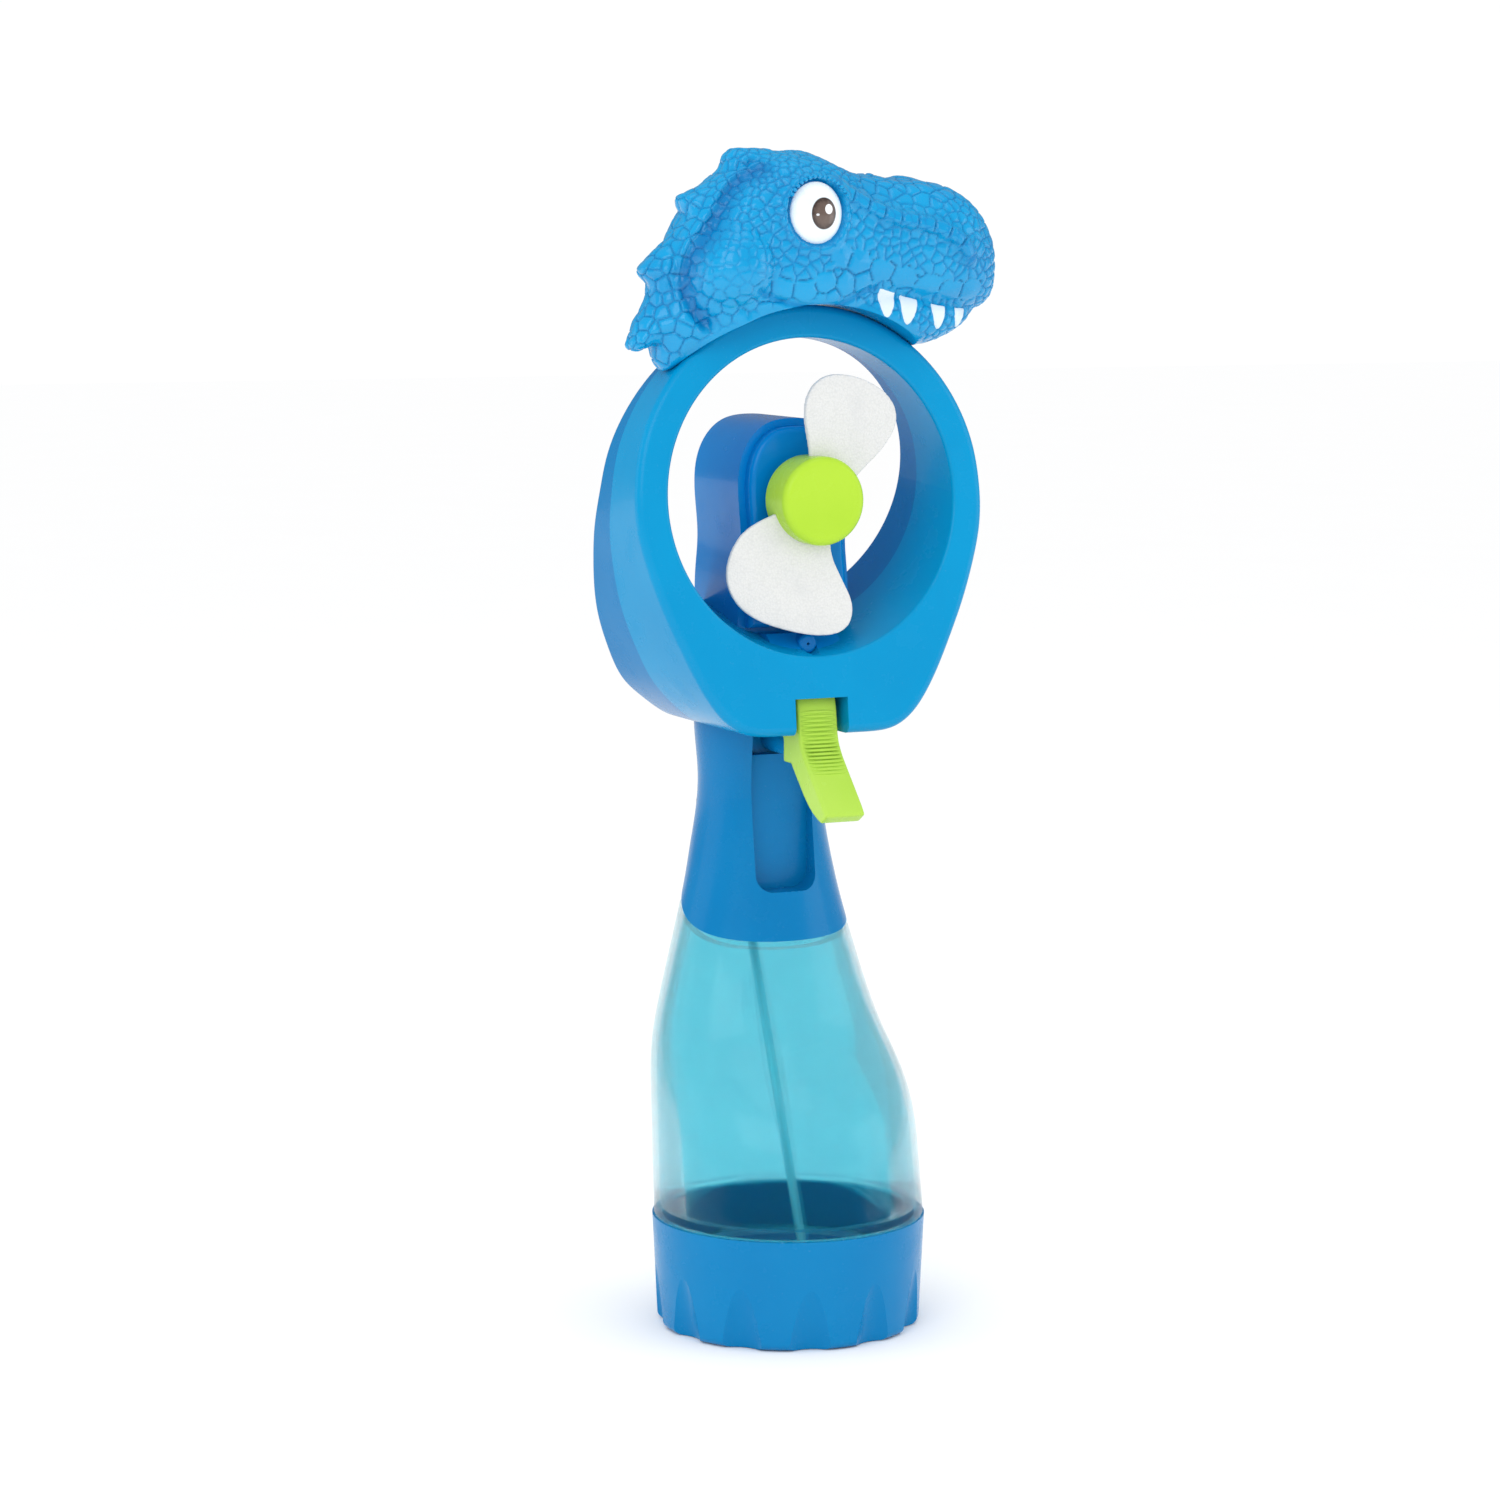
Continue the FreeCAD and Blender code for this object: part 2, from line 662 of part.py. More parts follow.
def pump_spring():
    start = piston_front_y + piston_length + spring_wire + 0.05
    end = pump_rear_y - pump_end_wall - spring_wire - 0.05
    helix = Part.makeHelix(spring_pitch, end - start, spring_radius)
    turns = [2 * math.pi * k / spring_wire_sides for k in range(spring_wire_sides)]
    corners = [V(spring_radius + spring_wire * math.cos(t), 0, spring_wire * math.sin(t)) for t in turns]
    profile = Part.makePolygon(corners + [corners[0]])
    coil = Part.Wire(helix.Edges).makePipeShell([profile], True, True)
    coil.rotate(V(0, 0, 0), V(1, 0, 0), -90)
    coil.translate(V(0, start, pump_z))
    return coil


def valve_ball(z):
    return Part.makeSphere(valve_ball_radius, V(0, pump_port_y, z))


def nozzle_hose():
    foot = V(0, pump_port_y, pump_z + pump_outer_radius + 1.6)
    riser = nozzle_rear_y - hose_radius - 1
    points = [foot, V(0, pump_port_y, 156.5), V(0, riser, 158.5), V(0, riser, nozzle_z - nozzle_radius)]
    return swept_tube(points, hose_bend, hose_radius, hose_bore)


def mist_nozzle():
    body = cylinder_y(nozzle_radius, nozzle_tip_y, nozzle_rear_y, 0, nozzle_z)
    tip = [e for e in body.Edges if abs(e.BoundBox.YMax - nozzle_tip_y) < 0.01]
    body = body.makeFillet(0.8, tip)
    body = body.cut(cylinder_y(hose_bore, nozzle_tip_y + 1.2, nozzle_rear_y - 1.2, 0, nozzle_z))
    body = body.cut(cylinder_y(nozzle_hole, nozzle_tip_y - 1, nozzle_tip_y + 2, 0, nozzle_z))
    riser = nozzle_rear_y - hose_radius - 1
    return body.cut(Part.makeCylinder(hose_bore, 6, V(0, riser, nozzle_z - 6)))


def motor_housing(ring_outer):
    shell = pod_solid(pod_front_y, door_y, 0, pod_side[-1][1])
    shell = shell.cut(pod_solid(pod_front_y - 1, door_y + 1, pod_wall, 150))
    block = prism_x([(foot_block_toe_y, 160), (foot_block_toe_y, 167.0), (foot_block_front_y, foot_block_top_z),
                     (foot_block_rear_y, foot_block_top_z), (foot_block_rear_y, 160)], foot_block_half_width)
    shell = shell.fuse(block).cut(ring_outer)
    sill = box(-pod_side[-1][0], pod_side[-1][0], pod_front_y, foot_block_rear_y, 160, sill_top_z)
    shell = shell.fuse(sill.common(pod_solid(pod_front_y, door_y, 0.3, 150)).cut(ring_outer))
    collar = cylinder_y(motor_radius + 1.4, pod_front_y + 0.2, pod_front_y + 6, 0, fan_z)
    web = box(-pod_side[2][0], pod_side[2][0], pod_front_y + 3.0, pod_front_y + 5.0, fan_z - 3, fan_z + 3)
    web = web.common(pod_solid(pod_front_y, door_y, 0.5, 150))
    shell = shell.fuse([collar, web])
    motor = cylinder_y(motor_radius, pod_front_y - 1, door_y, 0, fan_z)
    shell = shell.cut(motor)
    shell = shell.cut(cylinder_y(nozzle_radius, nozzle_tip_y - 5, nozzle_rear_y, 0, nozzle_z))
    shell = shell.cut(box(-3, 3, -2.5, nozzle_rear_y, 150, nozzle_z))
    keep_clear = box(-pocket_half_width, pocket_half_width, pocket_front_y, 40, 150, 178)
    return shell.cut(keep_clear)


def motor_front_cover():
    cover = pod_solid(pod_cover_front_y, pod_front_y, pod_cover_inset, 172.0)
    cover = cover.makeFillet(pod_cover_fillet, front_edges(cover, pod_cover_front_y))
    cover = cover.fuse(cylinder_y(boss_radius, boss_front_y, pod_cover_front_y + 1, 0, fan_z))
    return cover.cut(cylinder_y(shaft_radius + 0.2, boss_front_y - 1, pod_front_y + 1, 0, fan_z))


def battery_door(ring_outer, handle_outer):
    door = pod_solid(door_y, pod_back_y, 0, pod_side[-1][1])
    door = door.makeFillet(pod_back_fillet, front_edges(door, pod_back_y))
    door = door.cut(pod_solid(door_y - 1, pod_back_y - pod_back_wall, pod_wall, 150))
    door = door.cut(ring_outer).cut(handle_outer)
    door = door.cut(box(-pocket_half_width, pocket_half_width, door_y - 1, pod_back_y - pod_back_wall, 150, 178))
    head = cylinder_y(screw_head_radius, pod_back_y - 1.2, pod_back_y + 1, 0, door_screw_z)
    post = cylinder_y(screw_head_radius + 0.9, pod_back_y - 3.0, pod_back_y - 0.6, 0, door_screw_z)
    hole = cylinder_y(screw_radius, door_y - 1, pod_back_y + 1, 0, door_screw_z)
    return door.fuse(post).cut(head).cut(hole)


def door_screw():
    head = cylinder_y(screw_head_radius - 0.1, pod_back_y - 1.2, pod_back_y - 0.2, 0, door_screw_z)
    shank = cylinder_y(screw_radius, pod_back_y - 6.0, pod_back_y - 1.2, 0, door_screw_z)
    slot = box(-0.35, 0.35, pod_back_y - 0.7, pod_back_y, door_screw_z - 1.6, door_screw_z + 1.6)
    cross = box(-1.6, 1.6, pod_back_y - 0.7, pod_back_y, door_screw_z - 0.35, door_screw_z + 0.35)
    return head.fuse(shank).cut(slot).cut(cross)


def motor_can():
    front = pod_front_y + 0.2
    body = cylinder_y(motor_radius, front, front + motor_length, 0, fan_z)
    body = body.common(box(-20, 20, -20, 40, fan_z - motor_flat, fan_z + motor_flat))
    return body.cut(cylinder_y(shaft_radius + running_clearance, -30, 40, 0, fan_z))


def motor_shaft():
    return cylinder_y(shaft_radius, shaft_front_y, pod_front_y + 0.2 + motor_length - 1.0, 0, fan_z)


def fan_hub():
    body = cylinder_y(hub_radius, hub_front_y, hub_rear_y, 0, fan_z)
    body = body.makeFillet(hub_fillet, front_edges(body, hub_front_y))
    hollow = cylinder_y(hub_radius - hub_wall, hub_front_y + 3.2, hub_rear_y + 1, 0, fan_z)
    hollow = hollow.cut(cylinder_y(hub_core_radius, hub_front_y, hub_rear_y + 2, 0, fan_z))
    body = body.cut(hollow)
    body = body.cut(cylinder_y(shaft_radius, shaft_front_y, hub_rear_y + 1, 0, fan_z))
    for blade in (fan_blade(upper_blade), fan_blade(lower_blade)):
        body = body.cut(blade)
    return body


def fan_blade(outline):
    points = [V(x, blade_y + blade_pitch * x * (1 if outline[0][1] > 0 else -1), fan_z + z) for x, z in outline]
    curve = Part.BSplineCurve()
    curve.interpolate(Points=points, PeriodicFlag=True)
    normal = V(-blade_pitch * (1 if outline[0][1] > 0 else -1), 1, 0).normalize()
    face = Part.Face(Part.Wire([curve.toShape()]))
    blade = face.extrude(normal * blade_thickness)
    blade.translate(normal * (-blade_thickness / 2))
    return blade.cut(cylinder_y(hub_core_radius, -40, 10, 0, fan_z))


def battery_cells():
    cells = []
    for side in (-1, 1):
        x = side * (cell_radius + cell_gap / 2)
        can = Part.makeCylinder(cell_radius, cell_length - cell_nub_length, V(x, cell_y, cell_bottom_z))
        nub = Part.makeCylinder(cell_nub_radius, cell_nub_length, V(x, cell_y, cell_bottom_z + cell_length - cell_nub_length))
        cell = can.fuse(nub)
        if side > 0:
            cell.rotate(V(x, cell_y, cell_bottom_z + cell_length / 2), V(0, 1, 0), 180)
        cells.append(cell)
    return cells


def battery_contact(z):
    reach = 2 * cell_radius + cell_gap / 2 - 0.6
    return box(-reach, reach, cell_y - 4.0, cell_y + 4.0, z, z + contact_thickness)


def switch_block(grow):
    back = handle_back_y - handle_wall - 1.6
    half = switch_box_half_width + grow
    return box(-half, half, back - switch_box_depth - grow, back + grow, switch_z - switch_box_half_height - grow,
               switch_z + switch_box_half_height + grow)


def switch_body():
    return switch_block(0)


def switch_slider():
    low = switch_z - switch_travel / 2
    half = switch_slot_half_width - knob_clearance
    back = handle_back_y - handle_wall - 1.6
    surface = grip_centre_y + 15.2
    knob = box(-half, half, back + 0.1, surface + knob_proud, low - knob_half_height, low + knob_half_height)
    top = [e for e in knob.Edges if abs(e.BoundBox.YMin - surface - knob_proud) < 0.01]
    return knob.makeFillet(0.6, top)


def oval_wire(x, centre_z, half_height, half_width):
    """Upright closed oval, a little squarer than an ellipse, square to X."""
    points = []
    for i in range(oval_steps):
        angle = 2 * math.pi * i / oval_steps
        c, d = math.cos(angle), math.sin(angle)
        swell = (abs(c) ** oval_power + abs(d) ** oval_power) ** (-1 / oval_power)
        points.append(V(x, head_mid_y + half_width * swell * d, centre_z + half_height * swell * c))
    return closed_curve(points)


def head_solid(inset):
    wires = []
    for x, centre_z, half_height, half_width in head_sections:
        squeeze = 1 - inset / head_sections[-1][0]
        wires.append(oval_wire(x * squeeze, centre_z, half_height - inset, half_width - inset))
    skull = Part.makeLoft(wires, True, False)
    half = crest_half_thickness - inset
    corners = [V(x, head_mid_y - half, z) for x, z in crest_outline]
    crest = Part.Face(Part.makePolygon(corners + [corners[0]])).extrude(V(0, 2 * half, 0))
    return skull, crest


def saddle_tool():
    radius = ring_outer_radius + saddle_gap
    tool = Part.makeCylinder(radius, 120, V(0, -60, ring_centre_z), V(0, 1, 0))
    return tool


def eye_solid(side):
    y = head_mid_y + side * eye_seat
    egg = Part.makeSphere(eye_half_height)
    matrix = FreeCAD.Matrix()
    matrix.scale(eye_half_width / eye_half_height, 0.45, 1.0)
    egg = egg.transformGeometry(matrix)
    egg.translate(V(eye_x, y - side * (eye_half_height * 0.45 - eye_proud), eye_z))
    return egg


def head_parts():
    skull, crest = head_solid(0)
    core, _ = head_solid(head_wall)
    outer = skull.fuse(crest).cut(saddle_tool())
    roof = Part.makeCylinder(ring_outer_radius + saddle_gap + head_wall, 120, V(0, -60, ring_centre_z), V(0, 1, 0))
    shell = outer.cut(core.cut(roof).cut(crest))
    eyes = [eye_solid(-1), eye_solid(1)]
    shell = shell.cut(eyes[0]).cut(eyes[1])
    front = shell.common(box(-90, 90, -60, head_mid_y, 200, 320))
    rear = front.mirror(V(0, head_mid_y, 0), V(0, 1, 0))
    return front, rear, eyes


def handle_screws():
    screws = []
    for x, z in handle_screw_places():
        head = cylinder_y(screw_head_radius - 0.1, screw_seat_y, screw_seat_y + screw_head_height, x, z)
        shank = cylinder_y(screw_radius, handle_split_y - 7, screw_seat_y, x, z)
        cross = box(x - 1.5, x + 1.5, screw_seat_y + 0.8, 32, z - 0.35, z + 0.35)
        screws.append(head.fuse(shank).cut(cross))
    return screws


def biggest_solids(shape, least=1.0):
    solids = [s for s in shape.Solids if s.Volume > least]
    return solids[0] if len(solids) == 1 else Part.makeCompound(solids)


def write(name, shape):
    if isinstance(shape, list):
        shape = Part.makeCompound(shape)
    shape = biggest_solids(shape)
    print(f"{name}: {len(shape.Solids)} solid(s), {shape.Volume:.0f} mm3, valid {shape.isValid()}")
    shape.exportStep(f"parts/{name}.step")


def main():
    os.makedirs("parts", exist_ok=True)
    handle_outer, _ = handle_shell()
    front, rear = handle_parts()
    write("handle_front_shell", front)
    write("handle_rear_shell", rear)
    ring_front, ring_rear, ring_outer = ring_parts()
    write("ring_front_shell", ring_front)
    write("ring_rear_shell", ring_rear)
    write("base_cap", base_cap())
    write("base_cap_seal", base_cap_seal())
    write("bottle", bottle())
    write("bottle_plug", bottle_plug())
    write("dip_tube", dip_tube())
    write("trigger_lever", trigger_lever())
    write("trigger_pivot_pin", trigger_pivot_pin())
    write("pump_cylinder", pump_cylinder())
    write("pump_piston", pump_piston())
    write("piston_seal", piston_seal())
    write("pump_spring", pump_spring())
    write("inlet_valve_ball", valve_ball(neck_top_z + 6 + valve_ball_radius))
    write("nozzle_hose", nozzle_hose())
    write("mist_nozzle", mist_nozzle())
    write("motor_housing", motor_housing(ring_outer))
    write("motor_front_cover", motor_front_cover())
    write("battery_door", battery_door(ring_outer, handle_outer))
    write("door_screw", door_screw())
    write("motor_can", motor_can())
    write("motor_shaft", motor_shaft())
    write("fan_hub", fan_hub())
    write("fan_blade_upper", fan_blade(upper_blade))
    write("fan_blade_lower", fan_blade(lower_blade))
    write("battery_cells", battery_cells())
    write("battery_contact_bottom", battery_contact(cell_bottom_z - contact_thickness))
    write("battery_contact_top", battery_contact(cell_bottom_z + cell_length))
    write("switch_body", switch_body())
    write("switch_slider", switch_slider())
    write("handle_screws", handle_screws())
    head_front, head_rear, eyes = head_parts()
    write("head_front_shell", head_front)
    write("head_rear_shell", head_rear)
    write("eye_front", eyes[0])
    write("eye_rear", eyes[1])


main()
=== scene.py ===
import json
import math
from itertools import product

import bmesh
import bpy
import numpy as np
from mathutils import Matrix, Vector
from mathutils.kdtree import KDTree

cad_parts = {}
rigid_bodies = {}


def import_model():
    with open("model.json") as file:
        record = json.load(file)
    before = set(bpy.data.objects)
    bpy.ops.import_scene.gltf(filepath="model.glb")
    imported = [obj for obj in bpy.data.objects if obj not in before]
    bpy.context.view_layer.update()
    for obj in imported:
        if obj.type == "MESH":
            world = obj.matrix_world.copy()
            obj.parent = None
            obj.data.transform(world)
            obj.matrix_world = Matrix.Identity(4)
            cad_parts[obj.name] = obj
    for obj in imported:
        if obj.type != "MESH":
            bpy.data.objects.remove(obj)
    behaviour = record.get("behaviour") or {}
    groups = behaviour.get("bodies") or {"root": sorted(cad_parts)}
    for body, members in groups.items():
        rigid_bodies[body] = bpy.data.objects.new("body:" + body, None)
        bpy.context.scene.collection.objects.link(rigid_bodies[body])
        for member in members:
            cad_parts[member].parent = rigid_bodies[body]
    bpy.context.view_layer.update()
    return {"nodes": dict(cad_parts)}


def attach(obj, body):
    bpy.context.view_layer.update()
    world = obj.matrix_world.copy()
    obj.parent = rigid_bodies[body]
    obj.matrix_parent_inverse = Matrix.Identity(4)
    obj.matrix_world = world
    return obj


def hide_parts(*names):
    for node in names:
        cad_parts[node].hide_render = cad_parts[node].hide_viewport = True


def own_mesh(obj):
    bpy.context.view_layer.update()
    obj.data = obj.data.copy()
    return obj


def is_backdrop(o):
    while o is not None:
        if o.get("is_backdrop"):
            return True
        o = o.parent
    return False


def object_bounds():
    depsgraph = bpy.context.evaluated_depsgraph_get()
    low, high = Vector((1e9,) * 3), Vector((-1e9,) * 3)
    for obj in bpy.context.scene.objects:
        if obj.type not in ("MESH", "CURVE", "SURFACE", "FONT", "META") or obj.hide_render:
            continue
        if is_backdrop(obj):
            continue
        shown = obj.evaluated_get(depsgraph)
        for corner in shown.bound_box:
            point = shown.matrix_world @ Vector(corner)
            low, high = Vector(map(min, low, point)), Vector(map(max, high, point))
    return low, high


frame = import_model()
scene = bpy.context.scene
mm = 0.001
print("frame loaded, nodes:", len(frame["nodes"]))


class Value:
    # one shader socket, so that maths on it reads as plain arithmetic
    def __init__(self, finish, socket):
        self.finish = finish
        self.socket = socket

    def maths(self, operation, other):
        return self.finish.add("Math", {"operation": operation}, {0: self, 1: other})

    def flipped(self, operation, other):
        return self.finish.add("Math", {"operation": operation}, {0: other, 1: self})

    def __add__(self, other):
        return self.maths("ADD", other)

    def __sub__(self, other):
        return self.maths("SUBTRACT", other)

    def __mul__(self, other):
        return self.maths("MULTIPLY", other)

    def __truediv__(self, other):
        return self.maths("DIVIDE", other)

    def __pow__(self, other):
        return self.maths("POWER", other)

    def __rsub__(self, other):
        return self.flipped("SUBTRACT", other)

    def __rtruediv__(self, other):
        return self.flipped("DIVIDE", other)

    __radd__ = __add__
    __rmul__ = __mul__

    def step(self, low, high):
        # smooth 0 to 1 as the value goes from low to high
        return self.finish.add("MapRange", {"interpolation_type": "SMOOTHSTEP"},
                               {0: self, 1: low, 2: high, 3: 0.0, 4: 1.0})


class Finish:
    # one material: a Principled shader whose fixed numbers are set on its own sockets
    def __init__(self, name, **fixed):
        self.material = bpy.data.materials.new(name)
        self.material.use_nodes = True
        self.tree = self.material.node_tree
        self.tree.nodes.clear()
        self.shader = self.tree.nodes.new("ShaderNodeBsdfPrincipled")
        self.out = self.tree.nodes.new("ShaderNodeOutputMaterial")
        self.tree.links.new(self.shader.outputs[0], self.out.inputs[0])
        for key, amount in fixed.items():
            self.shader.inputs[key.replace("_", " ")].default_value = amount
        self.place = self.add("TexCoord", {}, {}, output="Object")

    def add(self, kind, settings, inputs, output=0):
        node = self.tree.nodes.new("ShaderNode" + kind)
        for key, amount in settings.items():
            setattr(node, key, amount)
        for key, amount in inputs.items():
            if isinstance(amount, Value):
                self.tree.links.new(amount.socket, node.inputs[key])
            else:
                node.inputs[key].default_value = amount
        return Value(self, node.outputs[output])

    def noise(self, size, detail=2.0, rough=0.5):
        # size is the width of one blotch in millimetres
        return self.add("TexNoise", {}, {"Vector": self.place, "Scale": 1000 / size, "Detail": detail,
                                         "Roughness": rough})

    def mix(self, first, second, amount):
        return self.add("Mix", {"data_type": "RGBA"}, {0: amount, 6: first, 7: second}, output=2)

    def feed(self, name, value):
        self.tree.links.new(value.socket, self.shader.inputs[name])

    def bump(self, height, depth):
        # depth in millimetres for a height of 1
        relief = self.add("Bump", {}, {"Height": height, "Strength": 1.0, "Distance": depth * mm},
                          output="Normal")
        self.feed("Normal", relief)

    def attribute(self, name):
        return self.add("Attribute", {"attribute_name": name}, {}, output="Fac")


def colour(red, green, blue):
    # screen colour 0 to 255 to the linear colour a shader wants
    linear = [c / 255 / 12.92 if c <= 10 else ((c / 255 + 0.055) / 1.055) ** 2.4 for c in (red, green, blue)]
    return (*linear, 1.0)


def mouldedPlastic(name, tone, shade, roughness, coat, peel):
    # glossy injection-moulded plastic: slow colour drift, faint flow streaks, orange peel and handling marks
    finish = Finish(name, Coat_Roughness=0.05, Coat_IOR=1.4, Specular_IOR_Level=0.14)
    drift = finish.noise(28, 3.0).step(0.3, 0.75)
    streakPlace = finish.add("Mapping", {}, {"Vector": finish.place, "Scale": (1.0, 1.0, 0.18)})
    streaks = finish.add("TexNoise", {}, {"Vector": streakPlace, "Scale": 220.0, "Detail": 4.0})
    body = finish.mix(tone, shade, drift * 0.5)
    body = finish.mix(body, shade, streaks.step(0.55, 0.8) * 0.18)
    specks = finish.noise(0.55, 1.0).step(0.72, 0.8)
    finish.feed("Base Color", finish.mix(body, (0.8, 0.86, 0.92, 1), specks * 0.03))
    smudge = finish.noise(9, 4.0, 0.6).step(0.45, 0.75)
    finish.feed("Roughness", smudge * 0.09 + roughness)
    finish.feed("Coat Weight", coat - smudge * 0.08)
    fine = finish.noise(1.6, 2.0) + finish.noise(0.35, 1.0) * 0.25
    finish.bump(fine, peel)
    return finish.material


def vinylSkin(name):
    # painted soft vinyl: painted shade in the grooves between scales and in the cheek hollow, painted
    # highlight on the scale crowns, painted teeth
    finish = Finish(name, Coat_Roughness=0.1, IOR=1.48, Specular_IOR_Level=0.2)
    grooveShade = finish.attribute("grooveShade")
    crownHighlight = finish.attribute("crownHighlight")
    tooth = finish.attribute("tooth").step(0.4, 0.6)
    hollowShade = finish.attribute("hollowShade")
    drift = finish.noise(17, 3.0).step(0.3, 0.8)
    base = finish.mix(colour(0, 150, 206), colour(0, 134, 194), drift)
    # painted highlight: the crowns of the scales are coloured a lighter blue
    base = finish.mix(base, colour(20, 164, 220), crownHighlight * 0.3)
    # painted shade: scale seams, creases, the lid line and the mouth line are coloured a deeper blue
    base = finish.mix(base, colour(0, 104, 178), grooveShade * 0.45)
    # painted shade in the cheek groove
    base = finish.mix(base, colour(0, 84, 158), hollowShade * 0.6)
    speck = finish.noise(0.5, 1.0).step(0.7, 0.8)
    base = finish.mix(base, colour(120, 205, 240), speck * 0.08)
    base = finish.mix(base, colour(216, 230, 240), tooth)
    finish.feed("Base Color", base)
    finish.feed("Roughness", 0.2 + grooveShade * 0.25 + finish.noise(5, 3.0).step(0.4, 0.8) * 0.08)
    finish.feed("Coat Weight", 0.5 - grooveShade * 0.4)
    finish.bump(finish.noise(0.9, 3.0, 0.6), 0.05)
    return finish.material


def eyeEnamel(name, pupil):
    # white enamel egg with a printed dark pupil, two glints and faint rays
    finish = Finish(name, Coat_Weight=0.5, Coat_Roughness=0.04)
    spot = finish.add("SeparateXYZ", {}, {"Vector": finish.place}, output=0)
    height = finish.add("SeparateXYZ", {}, {"Vector": finish.place}, output=2)

    def egg(x, z, halfWidth, halfHeight):
        across = (spot * 1000 - x) / halfWidth
        up = (height * 1000 - z) / halfHeight
        return (across * across + up * up) ** 0.5

    disc = 1 - egg(*pupil["disc"]).step(0.97, 1.04)
    rim = egg(*pupil["disc"]).step(0.55, 1.0)
    glint = 1 - egg(*pupil["glint"]).step(0.93, 1.07)
    spark = 1 - egg(*pupil["spark"]).step(0.9, 1.1)
    clouds = finish.noise(6, 2.0).step(0.3, 0.8)
    white = finish.mix(colour(236, 245, 250), colour(214, 230, 240), clouds * 0.5)
    brown = finish.mix(colour(98, 82, 74), colour(50, 36, 32), rim)
    grain = finish.noise(0.7, 2.0).step(0.45, 0.7)
    brown = finish.mix(brown, colour(118, 102, 92), grain * 0.25)
    look = finish.mix(white, brown, disc)
    look = finish.mix(look, colour(250, 252, 255), glint)
    look = finish.mix(look, colour(235, 240, 245), spark * 0.8)
    finish.feed("Base Color", look)
    finish.feed("Roughness", disc * 0.08 + finish.noise(4, 3.0).step(0.4, 0.8) * 0.08 + 0.14)
    finish.bump(finish.noise(1.4, 2.0) * 0.4 + disc, 0.02)
    return finish.material


def clearPlastic(name, tone, roughness, tint, alpha, through):
    # see-through polyethylene: light passes, with slight flow ripples and a scuffed haze
    finish = Finish(name, Transmission_Weight=through, IOR=1.25, Coat_Weight=0.2,
                    Coat_Roughness=0.05, Alpha=alpha)
    haze = finish.noise(11, 4.0, 0.6).step(0.4, 0.8)
    finish.feed("Base Color", finish.mix(tone, tint, haze * 0.4))
    finish.feed("Roughness", haze * 0.06 + roughness)
    finish.bump(finish.noise(4, 2.0) + finish.noise(0.8, 1.0) * 0.1, 0.03)
    return finish.material


def foam(name):
    # closed-cell foam sheet with fine pores
    finish = Finish(name, Sheen_Weight=0.1, Specular_IOR_Level=0.25)
    cells = finish.add("TexVoronoi", {"feature": "F1"}, {"Vector": finish.place, "Scale": 1900.0})
    pores = finish.noise(0.45, 2.0)
    tone = finish.mix(colour(217, 218, 217), colour(194, 196, 195), cells.step(0.2, 0.9) * 0.35)
    soil = finish.noise(8, 3.0).step(0.45, 0.8)
    finish.feed("Base Color", finish.mix(tone, colour(200, 202, 203), soil * 0.35))
    finish.feed("Roughness", pores * 0.15 + 0.6)
    finish.bump(cells * 0.6 + pores * 0.5, 0.12)
    return finish.material


def rubberPaintedGlow(name):
    # rubber seal coloured a light aqua: painted light standing in for the glow that comes through the blue
    # cap and the clear bottle floor
    finish = Finish(name, IOR=1.45)
    clouds = finish.noise(3, 4.0).step(0.4, 0.8)
    finish.feed("Base Color", finish.mix(colour(120, 200, 216), colour(96, 184, 204), clouds))
    finish.feed("Roughness", finish.noise(1.2, 3.0) * 0.2 + 0.55)
    finish.bump(finish.noise(0.3, 2.0), 0.05)
    return finish.material


def steel(name):
    # drawn steel: lengthwise brushing and faint tarnish
    finish = Finish(name, Metallic=1.0)
    along = finish.add("Mapping", {}, {"Vector": finish.place, "Scale": (1.0, 0.06, 1.0)})
    brush = finish.add("TexNoise", {}, {"Vector": along, "Scale": 2400.0, "Detail": 3.0})
    tarnish = finish.noise(4, 4.0, 0.6).step(0.45, 0.75)
    finish.feed("Base Color", finish.mix(colour(205, 207, 210), colour(158, 156, 152), tarnish * 0.6))
    finish.feed("Roughness", brush * 0.2 + tarnish * 0.15 + 0.18)
    finish.bump(brush, 0.01)
    return finish.material


def cellJacket(name):
    # printed battery sleeve: dark body with a copper band, no lettering
    finish = Finish(name, Metallic=0.3, Coat_Weight=0.4, Coat_Roughness=0.08)
    height = finish.add("SeparateXYZ", {}, {"Vector": finish.place}, output=2)
    band = height.step(0.2005, 0.2008)
    tone = finish.mix(colour(34, 36, 40), colour(188, 118, 62), band)
    scuffs = finish.noise(1.5, 3.0).step(0.6, 0.8)
    finish.feed("Base Color", finish.mix(tone, colour(90, 92, 96), scuffs * 0.2))
    finish.feed("Roughness", finish.noise(2, 3.0) * 0.15 + 0.22)
    finish.bump(finish.noise(3, 2.0), 0.02)
    return finish.material


# middle x and z, half width and half height, in millimetres
pupilPrint = {"disc": (-2.0, 270.6, 3.2, 3.7), "glint": (-0.8, 271.6, 1.0, 1.15),
              "spark": (-3.7, 270.3, 0.42, 0.28)}

